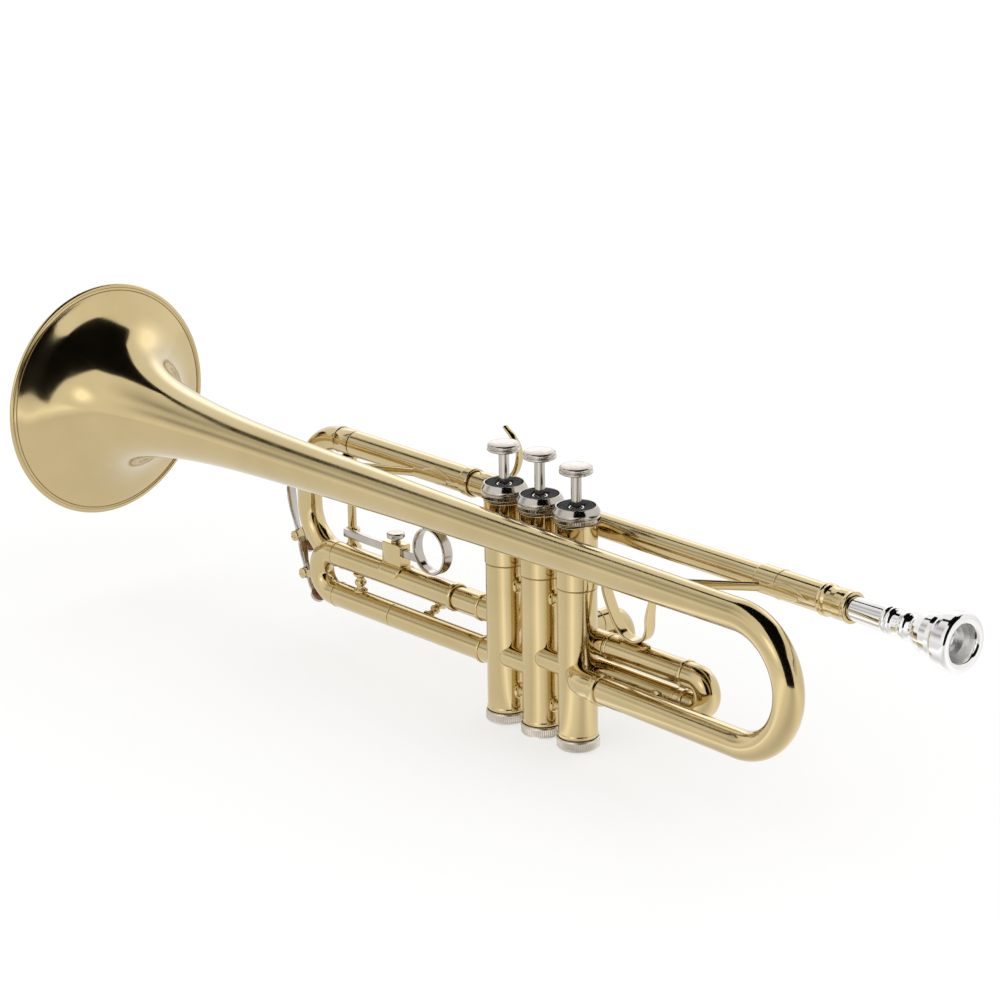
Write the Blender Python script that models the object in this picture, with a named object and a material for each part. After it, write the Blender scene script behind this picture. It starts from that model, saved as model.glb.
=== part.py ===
"""A three-valve B-flat trumpet as separate, jointed pieces.

The frame's origin is on the second valve's axis, 60 mm above the bottom caps.
+X runs toward the mouthpiece, -X out of the bell, +Z up, and -Y is the bell's side.
Lengths below are in millimetres, heights measured up from the bottom caps' faces.
"""

import math

import bmesh
import bpy
from mathutils import Vector

for old in list(bpy.data.objects):
    bpy.data.objects.remove(old, do_unlink=True)

MM = 0.001
GAP = 0.3
ORIGIN_UP = 60.0

# Valves
VALVE_X = {"valve_1": 25.0, "valve_2": 0.0, "valve_3": -25.0}
BUTTON_RAISE = {"valve_1": 0.0, "valve_2": 1.6, "valve_3": 0.0}
STROKE = 14.5
CASING_R = 9.5
CASING_UPPER_R = 9.95
BORE_R = 8.55
PISTON_R = 8.4
BALUSTER_Z = 80.0
CAP_TOP_Z = 119.2

# Bell
BELL_Y = -19.9
BELL_Z = 102.8
BELL_RIM_X = -315.4
BELL_BOW_X = 150.8
BELL_TAIL_Z = 42.6
BELL_WALL = 0.7
TAIL_END = (53.0, -11.0, 38.7)

# Leadpipe, receiver and mouthpiece
PIPE_Y = 18.4
PIPE_Z = 104.7
PIPE_R = 5.9
PIPE_FRONT_X = -69.5
SLEEVE_FRONT_X = 127.0
RECEIVER_REAR_X = 182.9
MOUTHPIECE_RIM_X = 246.8
MOUTHPIECE_RIM_R = 13.6

# Main tuning slide
TUNING_Z = 42.5
TUNING_JOINT_X = -157.0
TUNING_FERRULE_X = -168.0
TUNING_FRONT_X = -195.7
TUNING_OUTER_R = 6.6
SLIDE_INNER_R = 6.0

# Third, first and second valve slides
THIRD_UP_Z = 52.4
THIRD_LOW_Z = 31.0
THIRD_JOINT_X = -107.0
THIRD_RING_X = -59.5
THIRD_BOW_X = -154.0
FIRST_Y = 6.8
FIRST_UP_Z = 52.2
FIRST_LOW_Z = 37.9
FIRST_JOINT_UP_X = 40.5
FIRST_JOINT_LOW_X = 86.0
FIRST_BOW_X = 97.0
SECOND_UP_Z = 46.0
SECOND_LOW_Z = 26.0
SECOND_JOINT_Y = 27.0
SECOND_BOW_Y = 42.5
SLEEVE_R = 6.2
LEG_R = 5.75

# Sides of the round pieces. Tubes that slide in one another share a count.
BELL_SIDES = 20
VALVE_SIDES = 20
TUBE_SIDES = 16
PORT_SIDES = 8

X_AXIS = Vector((1, 0, 0))
Y_AXIS = Vector((0, 1, 0))
Z_AXIS = Vector((0, 0, 1))

LACQUER = ((0.83, 0.66, 0.36), 1.0, 0.12)
NICKEL = ((0.78, 0.76, 0.73), 1.0, 0.15)
SILVER = ((0.90, 0.89, 0.87), 1.0, 0.08)
STEEL = ((0.60, 0.60, 0.62), 1.0, 0.30)
FELT = ((0.02, 0.02, 0.02), 0.0, 0.95)
CORK = ((0.30, 0.12, 0.06), 0.0, 0.85)
NYLON = ((0.86, 0.84, 0.78), 0.0, 0.45)


def at(x, y, z):
    """A point in millimetres, heights from the caps, as metres in the frame."""
    return Vector((x, y, z - ORIGIN_UP)) * MM


# ---------------------------------------------------------------- meshes


def finish(name, verts, faces, origin, look, helper=False):
    """Makes the object, with its own material, its origin at `origin`."""
    mesh = bpy.data.meshes.new(name)
    mesh.from_pydata([v - origin for v in verts], [], faces)
    tidy = bmesh.new()
    tidy.from_mesh(mesh)
    bmesh.ops.recalc_face_normals(tidy, faces=tidy.faces)
    if tidy.calc_volume(signed=True) < 0:
        bmesh.ops.reverse_faces(tidy, faces=tidy.faces)
    tidy.to_mesh(mesh)
    tidy.free()
    for face in mesh.polygons:
        face.use_smooth = True
    mesh.set_sharp_from_angle(angle=math.radians(35))
    made = bpy.data.objects.new(name, mesh)
    made.location = origin
    bpy.context.scene.collection.objects.link(made)
    if helper:
        made.hide_render = True
        made.display_type = "WIRE"
        return made
    color, metallic, roughness = look
    skin = bpy.data.materials.new(name)
    skin.use_nodes = True
    shader = skin.node_tree.nodes["Principled BSDF"]
    shader.inputs["Base Color"].default_value = (*color, 1.0)
    shader.inputs["Metallic"].default_value = metallic
    shader.inputs["Roughness"].default_value = roughness
    mesh.materials.append(skin)
    return made


def bridge(rings, closed):
    """Faces between neighbouring rings. A ring of one point is a pole."""
    verts = [v for ring in rings for v in ring]
    starts = [sum(len(r) for r in rings[:i]) for i in range(len(rings))]
    faces = []
    last = len(rings) if closed else len(rings) - 1
    for i in range(last):
        j = (i + 1) % len(rings)
        a, b = starts[i], starts[j]
        m, n = len(rings[i]), len(rings[j])
        for k in range(max(m, n)):
            k2 = (k + 1) % max(m, n)
            if m == 1:
                faces.append((a, b + k2, b + k))
            elif n == 1:
                faces.append((a + k, a + k2, b))
            else:
                faces.append((a + k, a + k2, b + k2, b + k))
    if not closed:
        for i in (0, len(rings) - 1):
            if len(rings[i]) > 1:
                faces.append(tuple(starts[i] + k for k in range(len(rings[i]))))
    return verts, faces


def circle(center, side, up, radius, sides):
    """Points around `center`, in metres, in the plane of `side` and `up`."""
    if radius == 0:
        return [center.copy()]
    turn = 2 * math.pi / sides
    return [
        center + radius * MM * (math.cos(turn * k) * side + math.sin(turn * k) * up)
        for k in range(sides)
    ]


def across(axis):
    """Two directions square to `axis`, the same for every piece along it."""
    side = Y_AXIS if abs(axis.y) < 0.9 else Z_AXIS
    up = axis.cross(side).normalized()
    return up.cross(axis).normalized(), up


def lathe(name, origin, axis, profile, sides, look, closed=True, helper=False):
    """Turns (distance along the axis, radius) pairs about the axis."""
    side, up = across(axis)
    rings = [circle(origin + axis * a * MM, side, up, r, sides) for a, r in profile]
    verts, faces = bridge(rings, closed)
    return finish(name, verts, faces, origin, look, helper)


def tangents(path):
    ends = [path[0], *path, path[-1]]
    return [(ends[i + 2] - ends[i]).normalized() for i in range(len(path))]


def pipe(name, path, normal, outer, inner, sides, look, origin=None, helper=False):
    """A round tube along a nearly flat path, hollow where `inner` is given."""
    points = [at(*p) for p in path]
    outer = outer if isinstance(outer, list) else [outer] * len(points)
    frames = [(t.cross(normal).normalized(), t) for t in tangents(points)]
    rings = []
    for point, radius, (side, tangent) in zip(points, outer, frames):
        rings.append(circle(point, tangent.cross(side), side, radius, sides))
    if inner is not None:
        inner = inner if isinstance(inner, list) else [inner] * len(points)
        for point, radius, (side, tangent) in reversed(list(zip(points, inner, frames))):
            rings.append(circle(point, tangent.cross(side), side, radius, sides))
    verts, faces = bridge(rings, inner is not None)
    return finish(name, verts, faces, origin or points[0], look, helper)


def strap(name, path, width_axis, sizes, look, origin=None, helper=False):
    """A flat strip along a path: sizes are (width, thickness) at each point."""
    points = [at(*p) for p in path]
    sizes = sizes if isinstance(sizes, list) else [sizes] * len(points)
    rings = []
    for point, tangent, (width, thick) in zip(points, tangents(points), sizes):
        face = tangent.cross(width_axis).normalized() * thick / 2 * MM
        half = width_axis * width / 2 * MM
        rings.append([point + half + face, point + half - face, point - half - face, point - half + face])
    verts, faces = bridge(rings, False)
    return finish(name, verts, faces, origin or points[0], look, helper)


def slab(name, outline, z0, z1, look, origin, helper=False):
    """An outline of (x, y) points raised from z0 to z1."""
    rings = [[at(x, y, z) for x, y in outline] for z in (z0, z1)]
    verts, faces = bridge(rings, False)
    return finish(name, verts, faces, origin, look, helper)


def box(name, low, high, look, origin, helper=False):
    outline = [(low[0], low[1]), (high[0], low[1]), (high[0], high[1]), (low[0], high[1])]
    return slab(name, outline, low[2], high[2], look, origin, helper)


def combine(target, helper, operation):
    step = target.modifiers.new(helper.name, "BOOLEAN")
    step.operation = operation
    step.solver = "EXACT"
    step.object = helper


def join(target, *helpers):
    for helper in helpers:
        combine(target, helper, "UNION")


def cut(target, *helpers):
    for helper in helpers:
        combine(target, helper, "DIFFERENCE")


def arc(cx, cz, radius, start, end, steps, plane_y):
    """Points of an arc in an XZ plane, angles in degrees from +X toward +Z."""
    found = []
    for k in range(steps + 1):
        a = math.radians(start + (end - start) * k / steps)
        found.append((cx + radius * math.cos(a), plane_y, cz + radius * math.sin(a)))
    return found


# ---------------------------------------------------------------- valves

casing_room = {
    valve: lathe(
        valve + "_room", at(x, 0, 0), Z_AXIS,
        [(-5, 0), (-5, CASING_R + GAP), (125, CASING_R + GAP), (125, 0)],
        24, None, closed=False, helper=True,
    )
    for valve, x in VALVE_X.items()
}

casings = {}
for valve, x in VALVE_X.items():
    foot = at(x, 0, 0)
    casings[valve] = lathe(
        valve + "_casing", foot, Z_AXIS,
        [
            (2.0, 9.2), (5.8, 9.2), (5.8, CASING_R), (BALUSTER_Z - 0.8, CASING_R),
            (BALUSTER_Z + 0.8, CASING_UPPER_R), (111.6, CASING_UPPER_R), (111.6, 9.3), (114.6, 9.3),
            (114.6, 8.85), (79.6, 8.85), (79.6, BORE_R), (2.0, BORE_R),
        ],
        VALVE_SIDES, LACQUER,
    )
    lathe(
        valve + "_bottom_cap", foot, Z_AXIS,
        [(0, 1.2), (0, 9.6), (0.7, 10.4), (5.2, 10.5), (5.6, 9.5), (1.7, 9.5), (1.7, 1.2)],
        VALVE_SIDES, NICKEL,
    )
    lathe(
        valve + "_top_cap", foot, Z_AXIS,
        [
            (112.0, 9.6), (112.2, 11.1), (115.4, 11.2), (116.1, 10.3), (CAP_TOP_Z, 9.8),
            (CAP_TOP_Z, 9.15), (116.9, 9.15), (116.9, 2.9), (115.2, 2.9), (115.2, 9.6),
        ],
        VALVE_SIDES, NICKEL,
    )
    lathe(
        valve + "_felt", foot, Z_AXIS, [(117.2, 3.0), (118.9, 3.0), (118.9, 8.8), (117.2, 8.8)],
        VALVE_SIDES, FELT,
    )
    piston = lathe(
        valve + "_piston", foot, Z_AXIS,
        [
            (22, 0), (22, 8.1), (22.4, PISTON_R), (78.2, PISTON_R), (78.8, 8.0),
            (112.2, 8.0), (112.2, 6.9), (79.4, 6.9), (79.4, 0),
        ],
        VALVE_SIDES, STEEL, closed=False,
    )
    cut(piston, box(valve + "_guide_slot", (x - 9, -1.9, 79.8), (x + 9, 1.9, 97.6), None, foot, helper=True))
    for height, angle in ((34.0, 90.0), (47.0, 20.0), (62.0, 140.0)):
        way = Vector((math.cos(math.radians(angle)), math.sin(math.radians(angle)), 0))
        port = lathe(
            valve + "_port_%d" % height, at(x, 0, height), way,
            [(-12, 0), (-12, 4.4), (12, 4.4), (12, 0)], PORT_SIDES, None, closed=False, helper=True,
        )
        cut(piston, port)
    tab = math.asin(1.6 / 6.4)
    outline = []
    for turn in (0.0, math.pi):
        facing = math.cos(turn)
        outline += [(8.3 * facing, -1.6 * facing), (8.3 * facing, 1.6 * facing)]
        for k in range(7):
            a = turn + tab + (math.pi - 2 * tab) * k / 6
            outline.append((6.4 * math.cos(a), 6.4 * math.sin(a)))
    slab(valve + "_guide", [(x + u, v) for u, v in outline], 80.0, 82.3, NYLON, foot)
    turns, per_turn = 6, 8
    coil = []
    for k in range(turns * per_turn + 1):
        a = 2 * math.pi * k / per_turn
        rise = 83.1 + (111.7 - 83.1) * k / (turns * per_turn)
        coil.append((x + 5.3 * math.cos(a), 5.3 * math.sin(a), rise))
    pipe(valve + "_spring", coil, Z_AXIS, 0.45, None, 4, STEEL, origin=foot)
    top = 133.7 + BUTTON_RAISE[valve]
    lathe(
        valve + "_stem", foot, Z_AXIS,
        [(112.5, 0), (112.5, 7.9), (114.3, 7.9), (114.3, 2.5), (top, 2.5), (top, 0)],
        16, NICKEL, closed=False,
    )
    lathe(
        valve + "_button", foot, Z_AXIS,
        [
            (top + d, r)
            for d, r in (
                (0.3, 0), (0.3, 3.6), (1.2, 7.4), (1.8, 8.0), (2.8, 8.0), (3.3, 7.4), (5.2, 7.2), (5.5, 6.5),
                (5.0, 6.4), (5.0, 0),
            )
        ],
        VALVE_SIDES, NICKEL, closed=False,
    )

# Ports through the casings' walls, and the four flanged posts that join them
for valve, height, angle in (
    ("valve_3", TUNING_Z, 90), ("valve_3", THIRD_UP_Z, 180), ("valve_3", THIRD_LOW_Z, 180),
    ("valve_3", 34.3, -18), ("valve_2", 34.3, 198), ("valve_2", 40.4, -18),
    ("valve_2", SECOND_UP_Z, 90), ("valve_2", SECOND_LOW_Z, 90), ("valve_1", 40.4, 198),
    ("valve_1", FIRST_UP_Z, 42), ("valve_1", FIRST_LOW_Z, 42), ("valve_1", 38.0, -40),
):
    way = Vector((math.cos(math.radians(angle)), math.sin(math.radians(angle)), 0))
    hole = lathe(
        "%s_hole_%d_%d" % (valve, height, angle % 360), at(VALVE_X[valve], 0, height), way,
        [(4, 0), (4, 4.2), (12, 4.2), (12, 0)], PORT_SIDES, None, closed=False, helper=True,
    )
    cut(casings[valve], hole)

for height in (70.0, 16.7):
    for way, other in ((X_AXIS, "valve_1"), (-X_AXIS, "valve_3")):
        post = lathe(
            "post_%d_%s" % (height, other), at(0, 0, height), way,
            [
                (8.9, 0), (8.9, 4.1), (10.2, 4.1), (10.7, 2.3), (14.2, 2.3), (14.7, 4.1), (17.0, 4.1), (17.0, 0),
            ],
            10, None, closed=False, helper=True,
        )
        cut(post, casing_room[other])
        join(casings["valve_2"], post)

for name, x0, height, rooms in (
    ("crossover_tube_2_3", -25.0, 34.3, ("valve_2", "valve_3")),
    ("crossover_tube_1_2", 0.0, 40.4, ("valve_1", "valve_2")),
):
    tube = lathe(
        name, at(x0 + 12.5, -3.0, height), X_AXIS, [(-9.5, 4.8), (-9.5, 5.3), (9.5, 5.3), (9.5, 4.8)],
        TUBE_SIDES, LACQUER,
    )
    cut(tube, *[casing_room[valve] for valve in rooms])

# ---------------------------------------------------------------- bell

BOW_STEPS = 10
FLARE = (
    (0.0, 60.8), (2.0, 55.7), (6.0, 47.5), (12.0, 39.4), (20.0, 32.2), (31.0, 26.2), (45.0, 21.7),
    (62.0, 18.4), (84.0, 15.8), (110.0, 13.8), (150.0, 12.1), (210.0, 10.6), (316.4, 8.6), (440.0, 7.5),
)
bell_path = [(BELL_RIM_X + d, BELL_Y, BELL_Z) for d, _ in FLARE]
bell_radii = [r for _, r in FLARE]
bow_r = (BELL_Z - BELL_TAIL_Z) / 2
bow = arc(BELL_BOW_X, BELL_TAIL_Z + bow_r, bow_r, 90, -90, BOW_STEPS, BELL_Y)
bell_path += bow
bell_radii += [7.4 - 0.5 * k / BOW_STEPS for k in range(BOW_STEPS + 1)]
for share in (0.12, 0.5, 1.0):
    bow_end = (BELL_BOW_X, BELL_Y, BELL_TAIL_Z)
    bell_path.append(tuple(p + (q - p) * share for p, q in zip(bow_end, TAIL_END)))
bell_radii += [6.85, 6.7, 6.6]
bell_walls = [r - (BELL_WALL if k > 3 else 1.0) for k, r in enumerate(bell_radii)]
pipe("bell", bell_path, Y_AXIS, bell_radii, bell_walls, BELL_SIDES, LACQUER)
lathe(
    "bell_rim_wire", at(BELL_RIM_X, BELL_Y, BELL_Z), X_AXIS,
    [(-1.7, 59.5), (-1.7, 60.7), (-1.1, 61.3), (-0.5, 61.3), (-0.3, 60.7), (-0.3, 59.5)],
    BELL_SIDES, LACQUER,
)
knuckle = pipe(
    "bell_tail_knuckle",
    [
        (55.5, -11.2, 38.8), (50.5, -10.8, 38.6), (41.7, -10.2, 38.3), (39.5, -9.9, 38.2),
        (37.3, -9.3, 38.1), (35.4, -8.4, 38.0), (33.9, -7.4, 38.0), (29.5, -3.7, 38.0),
    ],
    Z_AXIS, [7.4, 7.4, 6.5, 6.4, 6.3, 6.2, 6.1, 6.0], [6.95, 6.95, 5.8, 5.7, 5.6, 5.5, 5.4, 5.3],
    TUBE_SIDES, LACQUER,
)
cut(knuckle, casing_room["valve_1"])

# ---------------------------------------------------------------- leadpipe

pipe(
    "leadpipe", [(SLEEVE_FRONT_X + 6, PIPE_Y, PIPE_Z), (PIPE_FRONT_X, PIPE_Y, PIPE_Z)],
    Y_AXIS, PIPE_R, 5.3, TUBE_SIDES, LACQUER,
)
lathe(
    "mouthpiece_receiver", at(0, PIPE_Y, PIPE_Z), X_AXIS,
    [
        (SLEEVE_FRONT_X, 6.2), (SLEEVE_FRONT_X, 6.7), (166.6, 6.8), (167.0, 7.7), (169.2, 7.7), (169.6, 7.0),
        (179.0, 7.3), (179.6, 8.0), (RECEIVER_REAR_X, 8.0), (RECEIVER_REAR_X, 5.75), (156.0, 5.15),
        (134.0, 5.15), (134.0, 6.2),
    ],
    TUBE_SIDES, LACQUER,
)
lathe(
    "mouthpiece", at(0, PIPE_Y, PIPE_Z), X_AXIS,
    [
        (159.0, 1.9), (159.0, 4.85), (183.5, 5.45), (204.0, 6.0), (204.8, 6.6), (206.8, 6.6), (208.6, 5.5),
        (212.5, 5.4), (214.2, 6.7), (216.4, 6.7), (218.6, 5.2), (221.5, 5.6), (224.5, 7.6), (229.0, 9.0),
        (235.6, 9.7), (236.4, 12.2), (237.8, 13.1), (244.6, 13.55), (246.4, 12.6), (246.8, 10.8),
        (246.0, 9.0), (243.8, 8.3), (238.0, 7.0), (233.5, 4.2), (231.0, 1.9),
    ],
    BELL_SIDES, SILVER,
)

# ---------------------------------------------------------------- main tuning slide

ferrule_r = TUNING_OUTER_R + 0.7
lathe(
    "tuning_upper_outer_tube", at(0, PIPE_Y, PIPE_Z), X_AXIS,
    [
        (-66.5, 6.2), (-66.5, ferrule_r), (-72.0, ferrule_r), (-72.4, TUNING_OUTER_R),
        (TUNING_JOINT_X, TUNING_OUTER_R), (TUNING_JOINT_X, 6.2),
    ],
    TUBE_SIDES, LACQUER,
)
lower_path = [(TUNING_JOINT_X, PIPE_Y, TUNING_Z), (-34.5, PIPE_Y, TUNING_Z)]
for k in range(1, 4):
    a = math.radians(90 - 30 * k)
    lower_path.append((-34.5 + 9.5 * math.cos(a), PIPE_Y - 9.5 + 9.5 * math.sin(a), TUNING_Z))
lower_path.append((-25.0, 4.0, TUNING_Z))
lower_tube = pipe(
    "tuning_lower_outer_tube", lower_path, Z_AXIS, TUNING_OUTER_R, 6.2, TUBE_SIDES, LACQUER,
)
cut(lower_tube, casing_room["valve_3"])

top_r, low_r = 28.0, 22.0
bend = arc(TUNING_FRONT_X + top_r, PIPE_Z - top_r, top_r, 90, 180, 5, PIPE_Y)
bend += arc(TUNING_FRONT_X + low_r, TUNING_Z + low_r, low_r, 180, 270, 5, PIPE_Y)
slide_path = [(-96.0, PIPE_Y, PIPE_Z), (-157.6, PIPE_Y, PIPE_Z), (-158.0, PIPE_Y, PIPE_Z), *bend]
slide_path += [(-158.0, PIPE_Y, TUNING_Z), (-157.6, PIPE_Y, TUNING_Z), (-96.0, PIPE_Y, TUNING_Z)]
slide_radii = [SLIDE_INNER_R, SLIDE_INNER_R, TUNING_OUTER_R, *[6.3] * len(bend)]
slide_radii += [TUNING_OUTER_R, SLIDE_INNER_R, SLIDE_INNER_R]
tuning_slide = pipe(
    "tuning_slide", slide_path, Y_AXIS, slide_radii, 5.5, TUBE_SIDES, LACQUER, origin=at(0, PIPE_Y, PIPE_Z),
)
lathe(
    "tuning_slide_brace", at(-162.0, PIPE_Y, TUNING_Z), Z_AXIS,
    [
        (6.9, 0), (6.9, 4.6), (7.8, 4.4), (10.5, 2.6), (14.0, 2.6), (14.8, 3.8), (16.4, 3.8), (17.2, 2.3),
        (53.0, 2.3), (55.3, 4.6), (55.3, 0),
    ],
    10, LACQUER, closed=False,
)

# ---------------------------------------------------------------- third valve slide

third_bow_r = (THIRD_UP_Z - THIRD_LOW_Z) / 2
third_bow = arc(THIRD_BOW_X, THIRD_LOW_Z + third_bow_r, third_bow_r, 110, 250, 7, 0)
third_path = [(THIRD_RING_X, 0, THIRD_UP_Z), (THIRD_BOW_X, 0, THIRD_UP_Z), *third_bow]
third_path += [(THIRD_BOW_X, 0, THIRD_LOW_Z), (THIRD_JOINT_X - 0.6, 0, THIRD_LOW_Z)]
third_path += [(THIRD_JOINT_X - 0.2, 0, THIRD_LOW_Z), (-62.0, 0, THIRD_LOW_Z)]
third_outer = [SLEEVE_R] * (len(third_path) - 2) + [LEG_R, LEG_R]
third_inner = [5.85] * 2 + [5.6] * (len(third_path) - 6) + [5.5] * 4
third_slide = pipe(
    "third_slide", third_path, Y_AXIS, third_outer, third_inner, TUBE_SIDES, LACQUER,
    origin=at(0, 0, THIRD_UP_Z),
)
leg_brace = lathe(
    "third_leg_brace", at(-134.0, 0, THIRD_LOW_Z), Z_AXIS,
    [
        (5.9, 0), (5.9, 3.6), (7.0, 3.4), (8.2, 1.9), (9.8, 2.6), (11.4, 2.6), (13.0, 1.9), (14.4, 3.4),
        (15.5, 3.6), (15.5, 0),
    ],
    12, None, closed=False, helper=True,
)
join(third_slide, leg_brace)

inner_tube = pipe(
    "third_slide_inner_tube",
    [(-29.0, 0, THIRD_UP_Z), (-41.6, 0, THIRD_UP_Z), (-42.0, 0, THIRD_UP_Z), (-106.0, 0, THIRD_UP_Z)],
    Y_AXIS, [SLEEVE_R, SLEEVE_R, 5.6, 5.6], 5.0, TUBE_SIDES, LACQUER,
)
outer_tube = pipe(
    "third_slide_outer_tube", [(-29.0, 0, THIRD_LOW_Z), (THIRD_JOINT_X, 0, THIRD_LOW_Z)],
    Y_AXIS, SLEEVE_R, 5.95, TUBE_SIDES, LACQUER,
)
stay_way = Vector((0, PIPE_Y, TUNING_Z - THIRD_LOW_Z))
stay_length = stay_way.length
stay = lathe(
    "third_stay", at(-88.0, 0, THIRD_LOW_Z), stay_way.normalized(),
    [
        (6.05, 0), (6.05, 3.4), (7.4, 3.0), (8.6, 1.8), (stay_length - 9.6, 1.8), (stay_length - 8.4, 3.0),
        (stay_length - 6.95, 3.4), (stay_length - 6.95, 0),
    ],
    10, None, closed=False, helper=True,
)
join(outer_tube, stay)
for tube in (inner_tube, outer_tube):
    cut(tube, casing_room["valve_3"])

# ---------------------------------------------------------------- water keys


def water_key(name, y, pivot, lever, seat, way, to_bow, cork_r, feet, bow, room):
    """A lever on a cross pin, its cupped cork on the bow's nipple, and the saddle it turns in.

    `seat` is the cup's middle, `way` the direction from it to the bow, `to_bow` how far that is.
    """
    hinge, cup_at = at(pivot[0], y, pivot[1]), at(seat[0], y, seat[1])
    way = Vector((way[0], 0, way[1])).normalized()
    widths = [(5.6, 1.2), (5.2, 1.3), (3.0, 2.4), (3.0, 1.4), (3.0, 1.4)]
    key = strap(name, [(x, y, z) for x, z in lever], Y_AXIS, widths, NICKEL, origin=hinge)
    barrel = lathe(
        name + "_barrel", hinge, Y_AXIS, [(-1.7, 0), (-1.7, 2.3), (1.7, 2.3), (1.7, 0)],
        10, None, closed=False, helper=True,
    )
    cup = lathe(
        name + "_cup", cup_at, way, [(-0.9, 0), (-0.9, cork_r + 0.2), (0.9, cork_r + 0.5), (0.9, 0)],
        12, None, closed=False, helper=True,
    )
    bore = lathe(
        name + "_bore", hinge, Y_AXIS, [(-3, 0), (-3, 1.2), (3, 1.2), (3, 0)],
        10, None, closed=False, helper=True,
    )
    join(key, barrel, cup)
    cut(key, bore)
    cork_end = to_bow - 1.6 - GAP
    lathe(
        name + "_cork", cup_at, way, [(1.2, 0), (1.2, cork_r), (cork_end, cork_r), (cork_end, 0)],
        12, CORK, closed=False,
    )
    nipple = lathe(
        name + "_nipple", cup_at, way,
        [(cork_end + GAP, 0), (cork_end + GAP, 2.2), (to_bow + 0.4, 2.2), (to_bow + 0.4, 0)],
        10, None, closed=False, helper=True,
    )
    drain = lathe(
        name + "_drain", cup_at, way, [(cork_end, 0), (cork_end, 1.2), (to_bow + 2, 1.2), (to_bow + 2, 0)],
        8, None, closed=False, helper=True,
    )
    join(bow, nipple)
    cut(bow, drain)
    saddle = lathe(
        name + "_saddle", hinge, Y_AXIS,
        [(-3.8, 0), (-3.8, 2.6), (-2.1, 2.6), (-2.1, 0.9), (2.1, 0.9), (2.1, 2.6), (3.8, 2.6), (3.8, 0)],
        12, LACQUER, closed=False,
    )
    for side in (-2.95, 2.95):
        path = [(x, y + side, z) for x, z in (pivot, feet)]
        join(saddle, strap("%s_foot_%d" % (name, side), path, Y_AXIS, (1.6, 3.2), None, helper=True))
    cut(saddle, room)


bow_rooms = {
    "tuning": pipe("tuning_bow_room", bend, Y_AXIS, 6.3 + GAP, None, TUBE_SIDES, None, helper=True),
    "third": pipe("third_bow_room", third_bow, Y_AXIS, SLEEVE_R + GAP, None, TUBE_SIDES, None, helper=True),
}
water_key(
    "tuning_water_key", PIPE_Y, (-204.6, 45.6),
    [(-211.0, 70.0), (-209.6, 60.0), (-204.6, 45.6), (-202.6, 43.1), (-198.5, 40.3)],
    (-198.3, 41.6), (0.731, 0.682), 5.3, 3.8, (-196.0, 50.5), tuning_slide, bow_rooms["tuning"],
)
water_key(
    "third_water_key", 0.0, (-175.6, 37.0),
    [(-179.2, 55.0), (-178.6, 47.0), (-175.6, 37.0), (-173.4, 30.0), (-169.3, 25.5)],
    (-168.6, 26.2), (0.686, 0.728), 4.4, 3.6, (-168.0, 40.0), third_slide, bow_rooms["third"],
)

# ---------------------------------------------------------------- finger ring

# Finger ring on its square rod, the clamp block it slides in, and the block's screw
ROD_Z = 65.4
BLOCK_X = (-112.5, -99.0)
block_at = at(-105.8, 0, ROD_Z)
ring_block = box("ring_block", (BLOCK_X[0], -3.6, 59.3), (BLOCK_X[1], 3.6, 69.6), LACQUER, block_at)
saddle = box(
    "ring_block_saddle", (BLOCK_X[0] - 1.5, -4.6, 55.4), (BLOCK_X[1] + 1.5, 4.6, 60.2), None, block_at,
    helper=True,
)
join(ring_block, saddle)
sleeve_room = lathe(
    "third_sleeve_room", at(-106, 0, THIRD_UP_Z), X_AXIS,
    [(-20, 0), (-20, SLEEVE_R + 0.25), (20, SLEEVE_R + 0.25), (20, 0)], 16, None, closed=False, helper=True,
)
rod_room = box(
    "ring_rod_room", (-125, -1.7, ROD_Z - 2.3), (-90, 1.7, ROD_Z + 2.3), None, block_at, helper=True,
)
screw_room = lathe(
    "ring_screw_room", at(-105.8, 0, 66.5), Z_AXIS, [(0, 0), (0, 1.6), (8, 1.6), (8, 0)],
    10, None, closed=False, helper=True,
)
cut(ring_block, sleeve_room, rod_room, screw_room)
lathe(
    "ring_thumbscrew", at(-105.8, 0, 0), Z_AXIS,
    [
        (ROD_Z + 2.4, 0), (ROD_Z + 2.4, 1.3), (71.6, 1.3), (72.0, 4.2), (72.4, 4.5), (74.2, 4.5), (74.7, 4.1),
        (74.7, 0),
    ],
    16, NICKEL, closed=False,
)
RING_X, RING_Z, RING_R = -78.3, 71.8, 11.9
ring_rod = lathe(
    "ring_rod", at(RING_X, 0, RING_Z), Y_AXIS,
    [(-3.0, RING_R - 1.0), (-3.0, RING_R), (3.0, RING_R), (3.0, RING_R - 1.0), (0, RING_R - 1.4)],
    24, NICKEL,
)
rod = box(
    "ring_rod_bar", (-145.0, -1.4, ROD_Z - 2.0), (-88.0, 1.4, ROD_Z + 2.0), None, block_at, helper=True,
)
ring_hole = lathe(
    "ring_hole", at(RING_X, 0, RING_Z), Y_AXIS, [(-5, 0), (-5, RING_R - 1.2), (5, RING_R - 1.2), (5, 0)],
    24, None, closed=False, helper=True,
)
cut(rod, ring_hole)
join(ring_rod, rod)

# ---------------------------------------------------------------- first valve slide

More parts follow.
